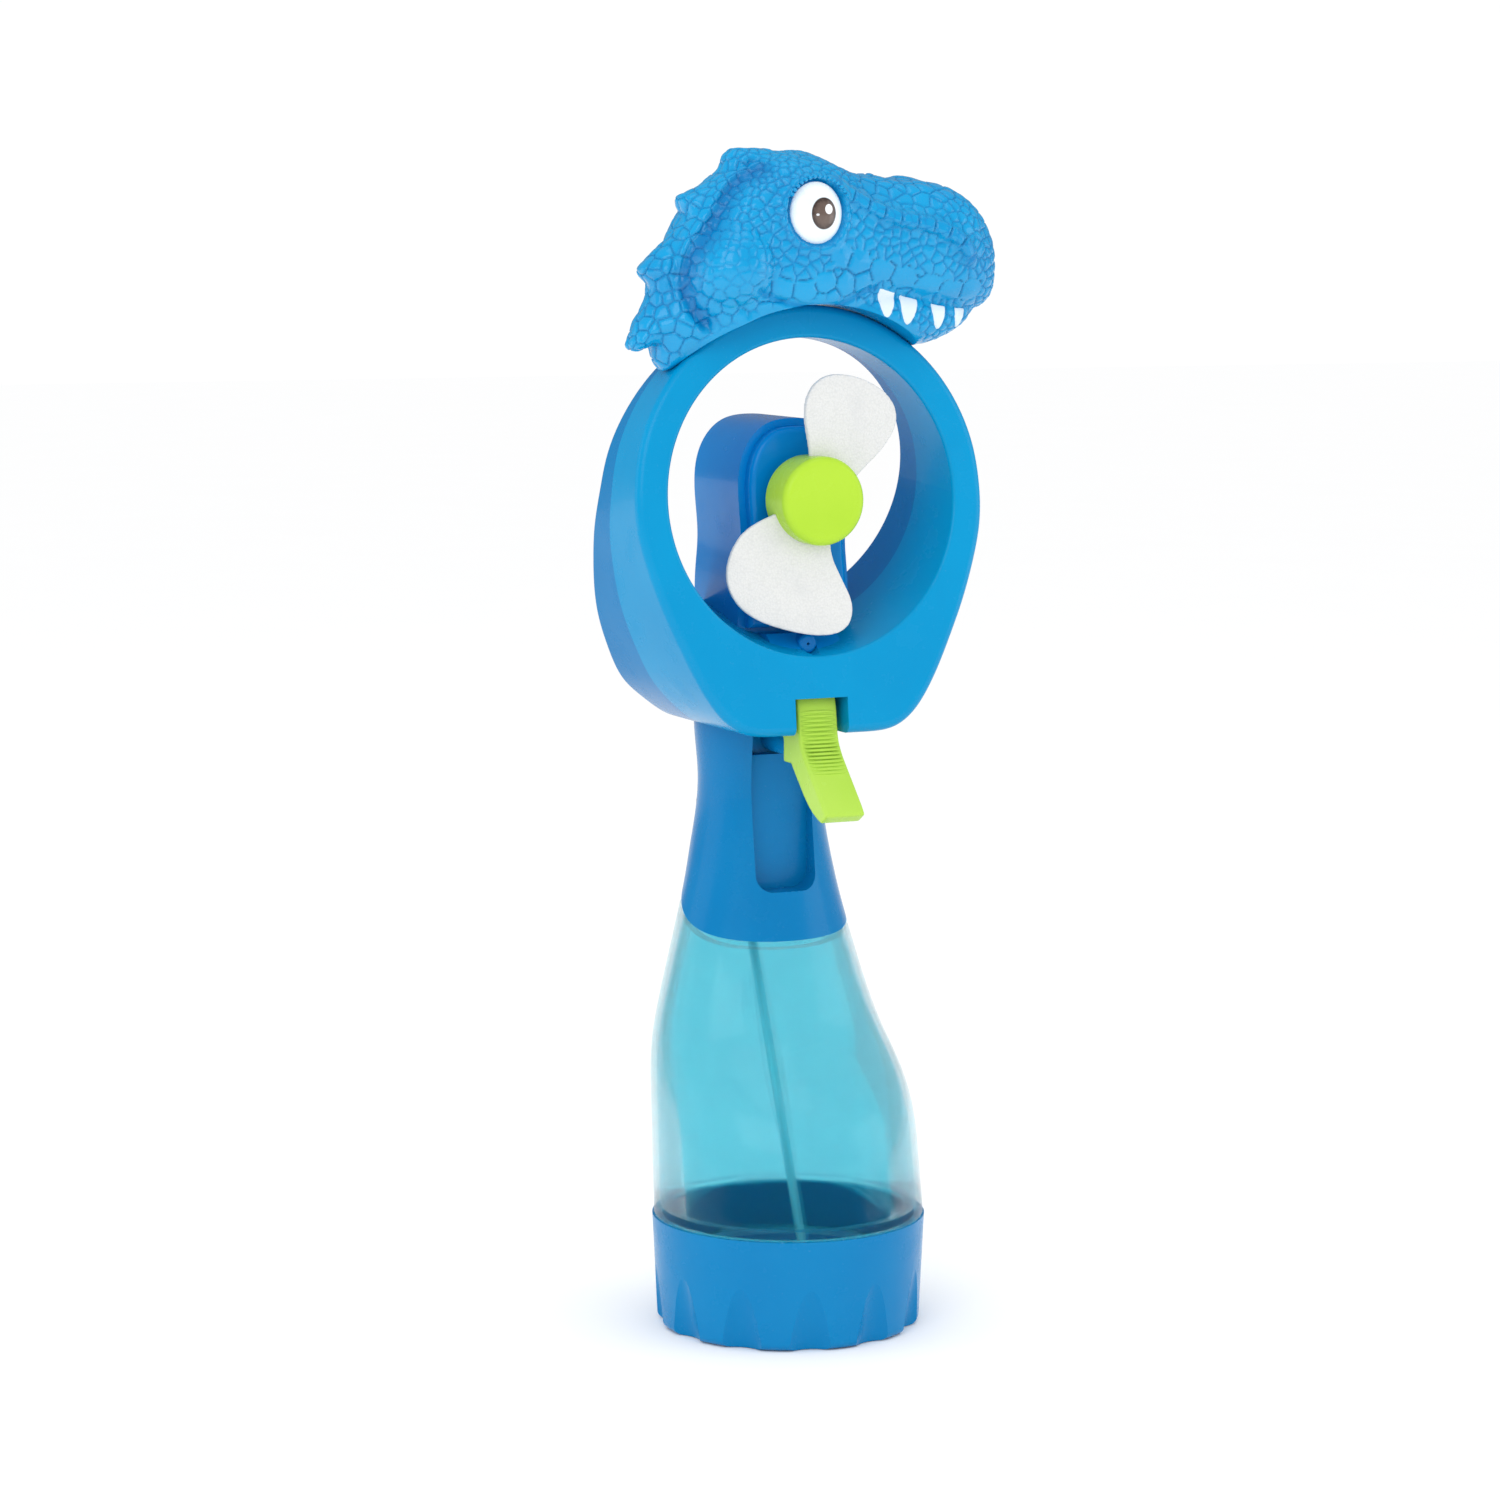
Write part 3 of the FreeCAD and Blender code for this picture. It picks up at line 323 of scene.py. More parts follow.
looks = {
    "ringBlue": mouldedPlastic("ringBlue", colour(0, 144, 197), colour(0, 134, 188), 0.24, 0.08, 0.015),
    "handleBlue": mouldedPlastic("handleBlue", colour(0, 120, 179), colour(0, 110, 170), 0.24, 0.1, 0.02),
    "podBlue": mouldedPlastic("podBlue", colour(0, 128, 201), colour(0, 116, 191), 0.2, 0.15, 0.015),
    "capBlue": mouldedPlastic("capBlue", colour(0, 126, 184), colour(0, 116, 176), 0.24, 0.1, 0.02),
    "limePlastic": mouldedPlastic("limePlastic", colour(174, 214, 58), colour(158, 202, 44),
                                  0.26, 0.15, 0.02),
    "triggerLime": mouldedPlastic("triggerLime", colour(176, 214, 84), colour(160, 204, 62), 0.22, 0.2, 0.02),
    "whitePlastic": mouldedPlastic("whitePlastic", colour(228, 230, 232), colour(212, 216, 220),
                                   0.35, 0.1, 0.03),
    "darkPlastic": mouldedPlastic("darkPlastic", colour(38, 40, 44), colour(56, 58, 62), 0.4, 0.1, 0.03),
    "headVinyl": vinylSkin("headVinyl"),
    "eyeEnamel": eyeEnamel("eyeEnamel", pupilPrint),
    "clearAqua": clearPlastic("clearAqua", colour(30, 188, 212), 0.06, colour(6, 170, 200), 0.48, 0.93),
    "clearTube": clearPlastic("clearTube", colour(206, 238, 242), 0.1, colour(186, 228, 234), 0.75, 0.4),
    "whiteFoam": foam("whiteFoam"),
    "sealRubberPaintedGlow": rubberPaintedGlow("sealRubberPaintedGlow"),
    "steel": steel("steel"),
    "cellJacket": cellJacket("cellJacket"),
}
print("finishes made:", len(looks))

nodeLooks = {
    "handle_front_shell": "handleBlue", "handle_rear_shell": "handleBlue",
    "ring_front_shell": "ringBlue", "ring_rear_shell": "handleBlue",
    "base_cap": "capBlue", "base_cap_seal": "sealRubberPaintedGlow",
    "bottle": "clearAqua", "bottle_plug": "whitePlastic", "dip_tube": "clearTube",
    "trigger_lever": "triggerLime", "trigger_pivot_pin": "steel",
    "pump_cylinder": "handleBlue", "pump_piston": "handleBlue", "piston_seal": "sealRubberPaintedGlow",
    "pump_spring": "steel", "inlet_valve_ball": "steel", "nozzle_hose": "clearTube", "mist_nozzle": "podBlue",
    "motor_housing": "podBlue", "motor_front_cover": "podBlue", "battery_door": "podBlue",
    "door_screw": "steel",
    "motor_can": "steel", "motor_shaft": "steel", "fan_hub": "limePlastic",
    "fan_blade_upper": "whiteFoam", "fan_blade_lower": "whiteFoam",
    "battery_cells": "cellJacket", "battery_contact_bottom": "steel", "battery_contact_top": "steel",
    "switch_body": "darkPlastic", "switch_slider": "limePlastic", "handle_screws": "steel",
    "head_front_shell": "headVinyl", "head_rear_shell": "headVinyl",
    "eye_front": "eyeEnamel", "eye_rear": "eyeEnamel",
}
for name, part in frame["nodes"].items():
    finish = looks[nodeLooks[name]]
    if not part.material_slots:
        part.data.materials.append(finish)
    for slot in part.material_slots:
        slot.material = finish
print("CAD nodes finished")


def newPiece(name, vertices, faces, finish, smooth=True):
    mesh = bpy.data.meshes.new(name)
    mesh.from_pydata([tuple(v) for v in vertices], [], faces)
    mesh.validate()
    mesh.update()
    piece = bpy.data.objects.new(name, mesh)
    scene.collection.objects.link(piece)
    piece.data.materials.append(finish)
    if smooth:
        mesh.polygons.foreach_set("use_smooth", [True] * len(mesh.polygons))
    return piece


def frozen(piece):
    # the evaluated object as a plain mesh, and the modifiers removed
    bpy.context.view_layer.update()
    graph = bpy.context.evaluated_depsgraph_get()
    mesh = bpy.data.meshes.new_from_object(piece.evaluated_get(graph))
    mesh.name = piece.name
    piece.modifiers.clear()
    old = piece.data
    piece.data = mesh
    bpy.data.meshes.remove(old)
    return piece


def remeshed(piece, voxel):
    modifier = piece.modifiers.new("even", "REMESH")
    modifier.mode = "VOXEL"
    modifier.voxel_size = voxel
    modifier.use_smooth_shade = True
    return frozen(piece)


def readPoints(mesh):
    points = np.zeros(len(mesh.vertices) * 3)
    mesh.vertices.foreach_get("co", points)
    return points.reshape(-1, 3)


def readNormals(mesh):
    normals = np.zeros(len(mesh.vertices) * 3)
    mesh.vertex_normals.foreach_get("vector", normals)
    return normals.reshape(-1, 3)


def writePoints(mesh, points):
    mesh.vertices.foreach_set("co", points.ravel())
    mesh.update()


def writeAttribute(mesh, name, values):
    layer = mesh.attributes.new(name, "FLOAT", "POINT")
    layer.data.foreach_set("value", values.astype(np.float32))


def smoothStep(values, low, high):
    t = np.clip((values - low) / (high - low), 0, 1)
    return t * t * (3 - 2 * t)


def pathDistance(x, z, path):
    # distance in the side view from each point to a chain of straight runs, and how far along it lies
    best = np.full(x.shape, 1e9)
    along = np.zeros(x.shape)
    travelled = 0.0
    for (x0, z0), (x1, z1) in zip(path, path[1:]):
        run = math.hypot(x1 - x0, z1 - z0)
        t = np.clip(((x - x0) * (x1 - x0) + (z - z0) * (z1 - z0)) / run ** 2, 0, 1)
        gap = np.hypot(x - x0 - t * (x1 - x0), z - z0 - t * (z1 - z0))
        nearer = gap < best
        best = np.where(nearer, gap, best)
        along = np.where(nearer, travelled + t * run, along)
        travelled += run
    return best, along


def rounded(path, rounds=2):
    # corner cutting, so that a route with few points turns smoothly
    for _ in range(rounds):
        cut = [path[0]]
        for a, b in zip(path, path[1:]):
            cut.append((a[0] * 0.75 + b[0] * 0.25, a[1] * 0.75 + b[1] * 0.25))
            cut.append((a[0] * 0.25 + b[0] * 0.75, a[1] * 0.25 + b[1] * 0.75))
        cut.append(path[-1])
        path = cut
    return path


headForm = {
    "middleY": -5.0, "voxel": 0.36, "oval": 2.5,
    # x, lowest z, highest z, half width, in millimetres
    "skull": [(-35, 243, 259, 7), (-33, 241, 265, 10), (-29, 240, 272, 13), (-24, 240, 278, 14.6),
              (-18, 240, 282.4, 15.6), (-12, 240, 284.8, 16.6), (-6, 240, 285.6, 17.4), (0, 240, 284.9, 17.6),
              (5, 241, 283.8, 17.0), (10, 244, 281.2, 16.3), (15, 248.4, 279.6, 15.9),
              (22, 249.6, 279.0, 15.9),
              (30, 248.0, 279.0, 16.1), (37, 247.3, 277.8, 15.4), (42, 247.2, 275.2, 13.8),
              (46, 247.6, 271.4, 11.4),
              (48.8, 249.2, 266.6, 8.4), (50.2, 252.5, 261.5, 4.0)],
    "jaw": [(-4, 238, 252, 13.0), (6, 238, 253, 13.4), (14, 239.2, 254, 13.6), (20, 238.9, 254, 13.5),
            (27, 238.7, 253, 12.9), (33, 239.6, 252, 11.6), (38, 241.6, 251, 9.6), (42, 243.9, 250, 7.0),
            (44.6, 246, 249.5, 3.6)],
    "frill": [(-4.0, 285.0), (-8.0, 286.1), (-12.8, 286.7), (-17.2, 286.6), (-19.6, 284.6), (-20.6, 280.6),
              (-24.6, 277.9), (-32.0, 274.8), (-31.4, 272.0), (-30.2, 269.6), (-34.0, 265.2), (-38.6, 261.0),
              (-41.8, 258.0), (-41.4, 256.2), (-39.0, 254.0), (-39.6, 250.6), (-42.6, 245.4), (-44.8, 239.6),
              (-43.4, 238.0), (-40.4, 238.4), (-38.4, 239.4), (-38.0, 236.4), (-35.6, 233.0), (-31.0, 235.0),
              (-24.0, 240.0), (-14.0, 246.0), (-6.0, 252.0), (-2.0, 268.0)],
    # how many of the collar's corners are on its free edge
    "frillFree": 24, "frillEdge": 2.6, "frillRoot": 13.4, "frillReach": 15.0,
    "saddleRadius": 45.35, "saddleZ": 204.0,
}
headMarks = {
    "eye": (-2.8, 270.7, 6.9, 7.3),
    "cheek": (-23.0, 258.2, 9.6, 4.0),
    "cheekGroove": [(-13.5, 281.5), (-20.6, 277.6), (-25.4, 269.4), (-31.4, 261.0), (-33.0, 255.0),
                    (-31.6, 249.4), (-28.0, 245.2)],
    "ridge": [(3.6, 277.4), (7.0, 274.9), (11.4, 272.6), (17.6, 269.9), (24.4, 268.8), (31.1, 267.0),
              (36.0, 264.2), (38.4, 260.6)],
    "browHollow": [(14.0, 276.4), (22.0, 274.6), (30.0, 273.4)],
    "mouth": [(-17.0, 252.6), (-13.1, 250.8), (-7.2, 249.2), (0.1, 248.6), (5.0, 249.4), (9.8, 251.8),
              (13.9, 253.2)],
    "lipScales": [(3.4, 261.2), (8.8, 259.0), (14.9, 257.2), (21.4, 255.2), (28.2, 253.4),
                  (34.8, 252.2), (40.6, 252.4)],
    "chinScales": [(-16.2, 253.0), (-11.4, 252.8), (-5.4, 252.4), (0.0, 254.8), (5.2, 254.2), (10.0, 254.9)],
    "teeth": [((14.9, 253.2), (20.2, 251.9), (16.9, 246.0)), ((20.8, 251.4), (26.3, 250.0), (22.5, 244.4)),
              ((29.4, 249.2), (34.0, 248.4), (31.3, 243.2)), ((36.6, 248.2), (40.4, 248.0), (37.6, 243.6))],
    "nostril": (44.6, 266.4, 2.2),
    # x, size, rise
    "crownBumps": [(18.4, 3.0, 0.9), (27.2, 3.2, 0.9), (0.6, 4.5, 0.8)],
    "scaleDepth": 0.55, "seed": 7,
}


def ovalTube(sections, middleY, oval, sides=56, rings=44):
    # a closed skin through ovals standing at x stations
    table = np.array(sections, float)
    stations = np.interp(np.linspace(0, len(table) - 1, rings), np.arange(len(table)), table[:, 0])
    columns = [np.interp(stations, table[:, 0], table[:, k]) for k in (1, 2, 3)]
    for _ in range(3):  # ease the kinks between stations
        for column in columns:
            column[1:-1] = column[1:-1] * 0.5 + (column[:-2] + column[2:]) * 0.25
    points = []
    for x, low, high, half in zip(stations, *columns):
        for k in range(sides):
            turn = 2 * math.pi * k / sides
            c, s = math.cos(turn), math.sin(turn)
            y = middleY + half * math.copysign(abs(c) ** (2 / oval), c)
            z = (low + high) / 2 + (high - low) / 2 * math.copysign(abs(s) ** (2 / oval), s)
            points.append((x, y, z))
    faces = []
    for r in range(rings - 1):
        for k in range(sides):
            a, b = r * sides + k, r * sides + (k + 1) % sides
            faces.append((a, b, b + sides, a + sides))
    faces.append(tuple(reversed(range(sides))))
    faces.append(tuple(range((rings - 1) * sides, rings * sides)))
    return points, faces


def frillPlate(form, step=0.7):
    # a jagged collar, thick where it leaves the skull and thin at its points
    outline = form["frill"]
    xs = np.arange(-47, 2, step)
    zs = np.arange(230, 289, step)
    gridX, gridZ = np.meshgrid(xs, zs, indexing="ij")
    edge, _ = pathDistance(gridX, gridZ, outline[:form["frillFree"]])
    inside = np.zeros(gridX.shape, bool)
    for (x0, z0), (x1, z1) in zip(outline, outline[1:] + outline[:1]):
        crosses = (z0 > gridZ) != (z1 > gridZ)
        at = x0 + (gridZ - z0) * (x1 - x0) / (z1 - z0 + 1e-9)
        inside ^= crosses & (gridX < at)
    lift = np.clip(edge / form["frillReach"], 0, 1)
    half = form["frillEdge"] * np.sqrt(np.clip(edge / 1.6, 0, 1))
    half = half + (form["frillRoot"] - form["frillEdge"]) * lift ** 0.8
    half = np.where(inside, np.maximum(half, 0.25), 0)
    vertices, faces, index = [], [], {}
    for i in range(len(xs)):
        for j in range(len(zs)):
            if inside[i, j]:
                for side in (-1, 1):
                    index[i, j, side] = len(vertices)
                    vertices.append((xs[i], form["middleY"] + side * half[i, j], zs[j]))
    for i in range(len(xs) - 1):
        for j in range(len(zs) - 1):
            corners = [(i, j), (i + 1, j), (i + 1, j + 1), (i, j + 1)]
            if all((a, b, 1) in index for a, b in corners):
                front = [index[a, b, -1] for a, b in corners]
                faces.append(tuple(front))
                faces.append(tuple(reversed([index[a, b, 1] for a, b in corners])))
    count = {}
    for face in faces:
        for a, b in zip(face, face[1:] + face[:1]):
            count[(a, b)] = count.get((a, b), 0) + 1
    partner = {index[i, j, -1]: index[i, j, 1] for i, j, side in index if side == -1}
    for (a, b) in list(count):
        if (b, a) not in count and a in partner and b in partner:
            faces.append((b, a, partner[a], partner[b]))
    return vertices, faces


def headSeeds(points, normals, marks, middleY, generator):
    # scale centres: large listed ones along the lip, then evenly spread ones that shrink near the eye
    seeds = []
    sizes = []

    def nearestSkin(x, z, side):
        match = (points[:, 1] - middleY) * side > 2
        turnedAway = np.abs(normals[:, 1] * side < 0.2) * 5
        gap = np.hypot(points[:, 0] - x, points[:, 2] - z) + np.where(match, 0, 1e3) + turnedAway
        return points[np.argmin(gap)]

    for key, size in (("lipScales", 6.4), ("chinScales", 5.4)):
        for x, z in marks[key]:
            for side in (-1, 1):
                seeds.append(nearestSkin(x, z, side))
                sizes.append(size)
    order = generator.permutation(len(points))[:26000]
    cell = 3.0
    grid = {}
    for k, seed in enumerate(seeds):
        grid.setdefault(tuple((seed // cell).astype(int)), []).append(k)
    ex, ez, _, _ = marks["eye"]
    for k in order:
        p = points[k]
        fromEye = math.hypot(p[0] - ex, p[2] - ez)
        size = 1.7 + 1.1 * min(max((fromEye - 8) / 26, 0), 1)
        if p[0] > 12:
            size = 1.9
        if p[0] > 12 and p[2] > 273:
            size = 2.7
        if p[0] < -30:
            size = 3.0
        size *= 0.75 + 0.6 * generator.random()
        key = tuple((p // cell).astype(int))
        near = (other for dx, dy, dz in product(range(-2, 3), repeat=3)
                for other in grid.get((key[0] + dx, key[1] + dy, key[2] + dz), ()))
        clear = not any(np.sum((seeds[other] - p) ** 2) < ((size + sizes[other]) / 2) ** 2 for other in near)
        if clear:
            grid.setdefault(key, []).append(len(seeds))
            seeds.append(p)
            sizes.append(size)
    return np.array(seeds), np.array(sizes)


def makeHead(form, marks):
    middleY = form["middleY"]
    vertices, faces = ovalTube(form["skull"], middleY, form["oval"])
    for extra in (ovalTube(form["jaw"], middleY, 2.3), frillPlate(form)):
        start = len(vertices)
        vertices = list(vertices) + list(extra[0])
        faces = list(faces) + [tuple(v + start for v in face) for face in extra[1]]
    head = newPiece("dinosaurHead", np.array(vertices), faces, looks["headVinyl"])
    remeshed(head, form["voxel"] * 1.6)
    # soften where the frill and jaw meet the skull
    soften = head.modifiers.new("soften", "SMOOTH")
    soften.factor = 0.5
    soften.iterations = 10
    frozen(head)
    remeshed(head, form["voxel"])
    mesh = head.data
    points = readPoints(mesh)
    normals = readNormals(mesh)
    x, z = points[:, 0], points[:, 2]
    side = np.sign(points[:, 1] - middleY)
    facing = smoothStep(np.abs(normals[:, 1]), 0.15, 0.6)
    push = np.zeros(len(points))
    # painted shade mask for creases, the lid line, the mouth line and the scale seams
    grooveShade = np.zeros(len(points))

    cx, cz, radius, rise = marks["cheek"]
    away = np.hypot(x - cx, z - cz) / radius
    push += rise * np.clip(1 - away ** 2, 0, 1) ** 0.8 * facing
    gap, _ = pathDistance(x, z, rounded(marks["cheekGroove"]))
    push -= 3.0 * np.exp(-(gap / 2.0) ** 2) * facing
    # painted shade mask along the cheek groove
    hollowShade = np.exp(-(gap / 1.7) ** 2) * facing
    gap, along = pathDistance(x, z, rounded(marks["ridge"]))
    ridge = np.exp(-(gap / 2.1) ** 4)
    blocks = smoothStep(np.abs((along / 4.4) % 1 - 0.5), 0.40, 0.5)
    push += (2.3 - 0.8 * blocks) * ridge * facing
    grooveShade = np.maximum(grooveShade, blocks * ridge * facing)
    gap, _ = pathDistance(x, z, marks["browHollow"])
    push -= 1.3 * np.exp(-(gap / 2.6) ** 2) * facing
    gap, _ = pathDistance(x, z, rounded(marks["mouth"]))
    push -= 0.9 * np.exp(-(gap / 0.8) ** 2) * facing
    grooveShade = np.maximum(grooveShade, 0.8 * np.exp(-(gap / 0.7) ** 2) * facing)
    # the socket is flat behind the eye and its lid stands up round it
    ex, ez, ew, eh = marks["eye"]
    ring = np.hypot((x - ex) / ew, (z - ez) / eh)
    lidAbove = smoothStep(z - ez, -4, 4)
    push += facing * (0.5 + 0.9 * lidAbove) * np.exp(-((ring - 1.2) / 0.14) ** 2)
    push -= facing * 0.8 * np.exp(-((ring - 1.0) / 0.07) ** 2)
    grooveShade = np.maximum(grooveShade, facing * np.exp(-((ring - 1.02) / 0.05) ** 2))
    # brow swelling from the eye back to the crown
    swell = np.exp(-(((x + 9) / 7.5) ** 2 + ((z - 281) / 3.6) ** 2))
    push += 1.1 * swell * facing
    nx, nz, nr = marks["nostril"]
    push -= 0.9 * np.exp(-(np.hypot(x - nx, z - nz) / nr) ** 2)
    for bumpX, size, rise in marks["crownBumps"]:
        near = np.exp(-(np.hypot(x - bumpX, points[:, 1] - middleY) / size) ** 2)
        points[:, 2] += rise * near * smoothStep(normals[:, 2], 0.5, 0.9)
    points[:, 1] += side * push
    writePoints(mesh, points)
    normals = readNormals(mesh)
    print("head form ready, vertices:", len(points))

    generator = np.random.default_rng(marks["seed"])
    seeds, sizes = headSeeds(points, normals, marks, middleY, generator)
    tree = KDTree(len(seeds))
    for k, seed in enumerate(seeds):
        tree.insert(Vector(seed), k)
    tree.balance()
    border = np.zeros(len(points))
    own = np.zeros(len(points))
    for k, p in enumerate(points):
        found = tree.find_n(Vector(p), 3)
        first = min(found, key=lambda f: f[2] - sizes[f[1]] * 0.5)
        rest = sorted(f[2] - sizes[f[1]] * 0.5 for f in found)
        border[k] = (rest[1] - rest[0]) * 0.5
        own[k] = sizes[first[1]]
    dome = smoothStep(border, 0.0, 0.36) * 0.75 + np.clip(border / (own * 0.5), 0, 1) * 0.35
    calm = np.exp(-(ring / 1.12) ** 8)
    soft = 1 - 0.55 * np.exp(-(np.hypot(x - cx, z - cz) / 7.5) ** 4)
    strength = marks["scaleDepth"] * np.clip(own / 3.0, 0.75, 1.5) * (1 - calm) * soft
    strength = strength * (1 - 0.85 * ridge * facing)
    fromAxis = np.hypot(x, z - form["saddleZ"])
    underRing = smoothStep(fromAxis, form["saddleRadius"] + 0.3, form["saddleRadius"] + 2.5)
    strength *= underRing

    tooth = np.zeros(len(points))
    for (x0, z0), (x1, z1), (xt, zt) in marks["teeth"]:
        down = np.clip((((z0 + z1) / 2) - z) / (((z0 + z1) / 2) - zt), -0.3, 1.2)
        centre = (x0 + x1) / 2 + (xt - (x0 + x1) / 2) * down
        half = (x1 - x0) / 2 * np.sqrt(np.clip(1.0 - np.clip(down, 0, 1) ** 1.6, 0, 1)) + 1e-3
        shape = (half - np.abs(x - centre)) / 0.5
        top = z0 + (z1 - z0) * np.clip((x - x0) / (x1 - x0), 0, 1) - z
        tooth = np.maximum(tooth, np.clip(np.minimum(shape, top / 0.4 + 0.5), 0, 1) * (down < 1.02))
    tooth *= smoothStep(np.abs(normals[:, 1]), 0.1, 0.35)
    strength *= 1 - tooth
    offset = (dome - 1.0) * strength + tooth * 0.5
    points = points + normals * offset[:, None]
    # nothing may enter the ring that the head sits on
    radial = np.stack([points[:, 0], points[:, 2] - form["saddleZ"]], 1)
    reach = np.hypot(radial[:, 0], radial[:, 1])
    lift = np.maximum(form["saddleRadius"] / np.maximum(reach, 1e-6), 1)
    points[:, 0] = radial[:, 0] * lift
    points[:, 2] = form["saddleZ"] + radial[:, 1] * lift
    writePoints(mesh, points * mm)
    # painted shade along the seams between scales
    seamShade = (1 - smoothStep(border, 0.0, 0.26)) * (1 - calm) * (1 - tooth) * soft
    writeAttribute(mesh, "grooveShade", np.clip(np.maximum(grooveShade, seamShade * underRing), 0, 1))
    # painted highlight mask on the scale crowns, strongest where the scales stand highest
    writeAttribute(mesh, "crownHighlight", np.clip(dome * strength / marks["scaleDepth"], 0, 1) * (1 - tooth))
    writeAttribute(mesh, "tooth", tooth)
    writeAttribute(mesh, "hollowShade", np.clip(hollowShade, 0, 1) * (1 - tooth))
    print("scales:", len(seeds))
    return head


def halfOf(whole, name, middleY, keepFront):
    # one closed half-shell of the head, cut on the mid-plane where the two halves are glued
    mesh = whole.data.copy()
    cut = bmesh.new()
    cut.from_mesh(mesh)
    bmesh.ops.bisect_plane(cut, geom=cut.verts[:] + cut.edges[:] + cut.faces[:], plane_co=(0, middleY, 0),
                           plane_no=(0, 1, 0), clear_outer=keepFront, clear_inner=not keepFront)
    rim = [e for e in cut.edges if e.is_boundary]
    bmesh.ops.holes_fill(cut, edges=rim, sides=0)
    bmesh.ops.triangulate(cut, faces=[f for f in cut.faces if len(f.verts) > 4])
    cut.to_mesh(mesh)
    cut.free()
    piece = bpy.data.objects.new(name, mesh)
    scene.collection.objects.link(piece)
    mesh.name = name
    return piece


wholeHead = makeHead(headForm, headMarks)
seamY = headForm["middleY"] * mm
headHalves = [halfOf(wholeHead, "headHalfFront", seamY, True),
              halfOf(wholeHead, "headHalfRear", seamY, False)]
bpy.data.objects.remove(wholeHead)
for piece, node in zip(headHalves, ("head_front_shell", "head_rear_shell")):
    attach(piece, "root")
    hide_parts(node)
print("head done")


class Recipe:
    # a geometry node tree with named inputs, built and used once
    def __init__(self, name, inputs):
        self.tree = bpy.data.node_groups.new(name, "GeometryNodeTree")
        self.ids = {}
        for label, kind in inputs.items():
            item = self.tree.interface.new_socket(label, in_out="INPUT", socket_type="NodeSocket" + kind)
            self.ids[label] = item.identifier
        self.tree.interface.new_socket("Geometry", in_out="OUTPUT", socket_type="NodeSocketGeometry")
        self.start = self.tree.nodes.new("NodeGroupInput")
        self.end = self.tree.nodes.new("NodeGroupOutput")

    def wanted(self, label):
        return self.start.outputs[label]

    def add(self, kind, inputs):
        node = self.tree.nodes.new(kind)
        for key, amount in inputs.items():
            if hasattr(amount, "links"):
                self.tree.links.new(amount, node.inputs[key])
            else:
                node.inputs[key].default_value = amount
        return node.outputs[0]

    def finish(self, geometry, material):
        solid = self.add("GeometryNodeRealizeInstances", {0: geometry})
        done = self.add("GeometryNodeSetMaterial", {0: solid, "Material": material})
        self.tree.links.new(done, self.end.inputs[0])

    def run(self, piece, values):
        modifier = piece.modifiers.new(self.tree.name, "NODES")
        modifier.node_group = self.tree
        for label, amount in values.items():
            modifier[self.ids[label]] = amount
        frozen(piece)
        piece.data.polygons.foreach_set("use_smooth", [True] * len(piece.data.polygons))
        return piece


def routeMesh(name, points, finish):
    # a bare chain of edges that a recipe turns into a row of things
    mesh = bpy.data.meshes.new(name)
    links = [(i, i + 1) for i in range(len(points) - 1)]
    mesh.from_pydata([tuple(c * mm for c in p) for p in points], links, [])
    piece = bpy.data.objects.new(name, mesh)
    scene.collection.objects.link(piece)
    mesh.materials.append(finish)
    return piece


def beadRow(name, points, values, finish):
    # short rounded bars or beads at even steps along a route, each lying across it
    recipe = Recipe(name + "Recipe", {"Geometry": "Geometry", "Count": "Int", "Thickness": "Float",
                                      "Reach": "Float", "Proud": "Float"})
    curve = recipe.add("GeometryNodeMeshToCurve", {0: recipe.wanted("Geometry")})
    even = recipe.add("GeometryNodeResampleCurve", {"Curve": curve, "Count": recipe.wanted("Count")})
    bead = recipe.add("GeometryNodeMeshIcoSphere", {"Radius": 1.0, "Subdivisions": 3})
    scale = recipe.add("ShaderNodeCombineXYZ", {0: recipe.wanted("Reach"), 1: recipe.wanted("Proud"),
                                                2: recipe.wanted("Thickness")})
    rows = recipe.add("GeometryNodeInstanceOnPoints", {"Points": even, "Instance": bead, "Scale": scale})
    recipe.finish(rows, finish)
    return recipe.run(routeMesh(name, points, finish), values)


def rowValues(plan, count):
    return {"Count": count, "Thickness": plan["thickness"] * mm, "Reach": plan["reach"] * mm,
            "Proud": plan["proud"] * mm}


triggerGrip = {"top": 152.5, "bottom": 138.6, "ribs": 16, "thickness": 0.4, "reach": 4.5, "proud": 0.42}


def gripRoute(grip):
    # the middle of the trigger's front face, from its own side profile
    face = [(-12.2, 160.2), (-15.2, 156.5), (-16.6, 152.0), (-17.6, 146.0), (-22.2, 139.9), (-27.4, 134.8)]
    heights = np.linspace(grip["top"], grip["bottom"], 16)
    depths = np.interp(-heights, [-z for _, z in face], [y for y, _ in face])
    return [(0.0, float(y), float(z)) for y, z in zip(depths, heights)]


ribs = beadRow("triggerGripRibs", gripRoute(triggerGrip), rowValues(triggerGrip, triggerGrip["ribs"]),
               looks["triggerLime"])
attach(ribs, "trigger")

lidBeads = {"beads": 15, "from": 28, "to": 150, "steps": 18, "spread": 1.17, "offset": 18.3, "lean": 0.6,
            "thickness": 0.5, "reach": 0.5, "proud": 0.7}
eyeX, eyeZ, eyeW, eyeH = headMarks["eye"]
for side, label in ((-1, "Front"), (1, "Rear")):
    arc = []
    for k in range(lidBeads["steps"] + 1):
        turn = math.radians(lidBeads["from"] + (lidBeads["to"] - lidBeads["from"]) * k / lidBeads["steps"])
        arc.append((eyeX + eyeW * lidBeads["spread"] * math.cos(turn),
                    headForm["middleY"] + side * (lidBeads["offset"] - lidBeads["lean"] * math.sin(turn)),
                    eyeZ + eyeH * lidBeads["spread"] * math.sin(turn)))
    beads = beadRow("lidBeads" + label, arc, rowValues(lidBeads, lidBeads["beads"]), looks["headVinyl"])
    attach(beads, "root")
print("grip ribs and lid beads done")


foamBlade = {"voxel": 0.32, "soften": 6, "ripple": 0.12}
triggerRound = {"voxel": 0.27, "soften": 26}


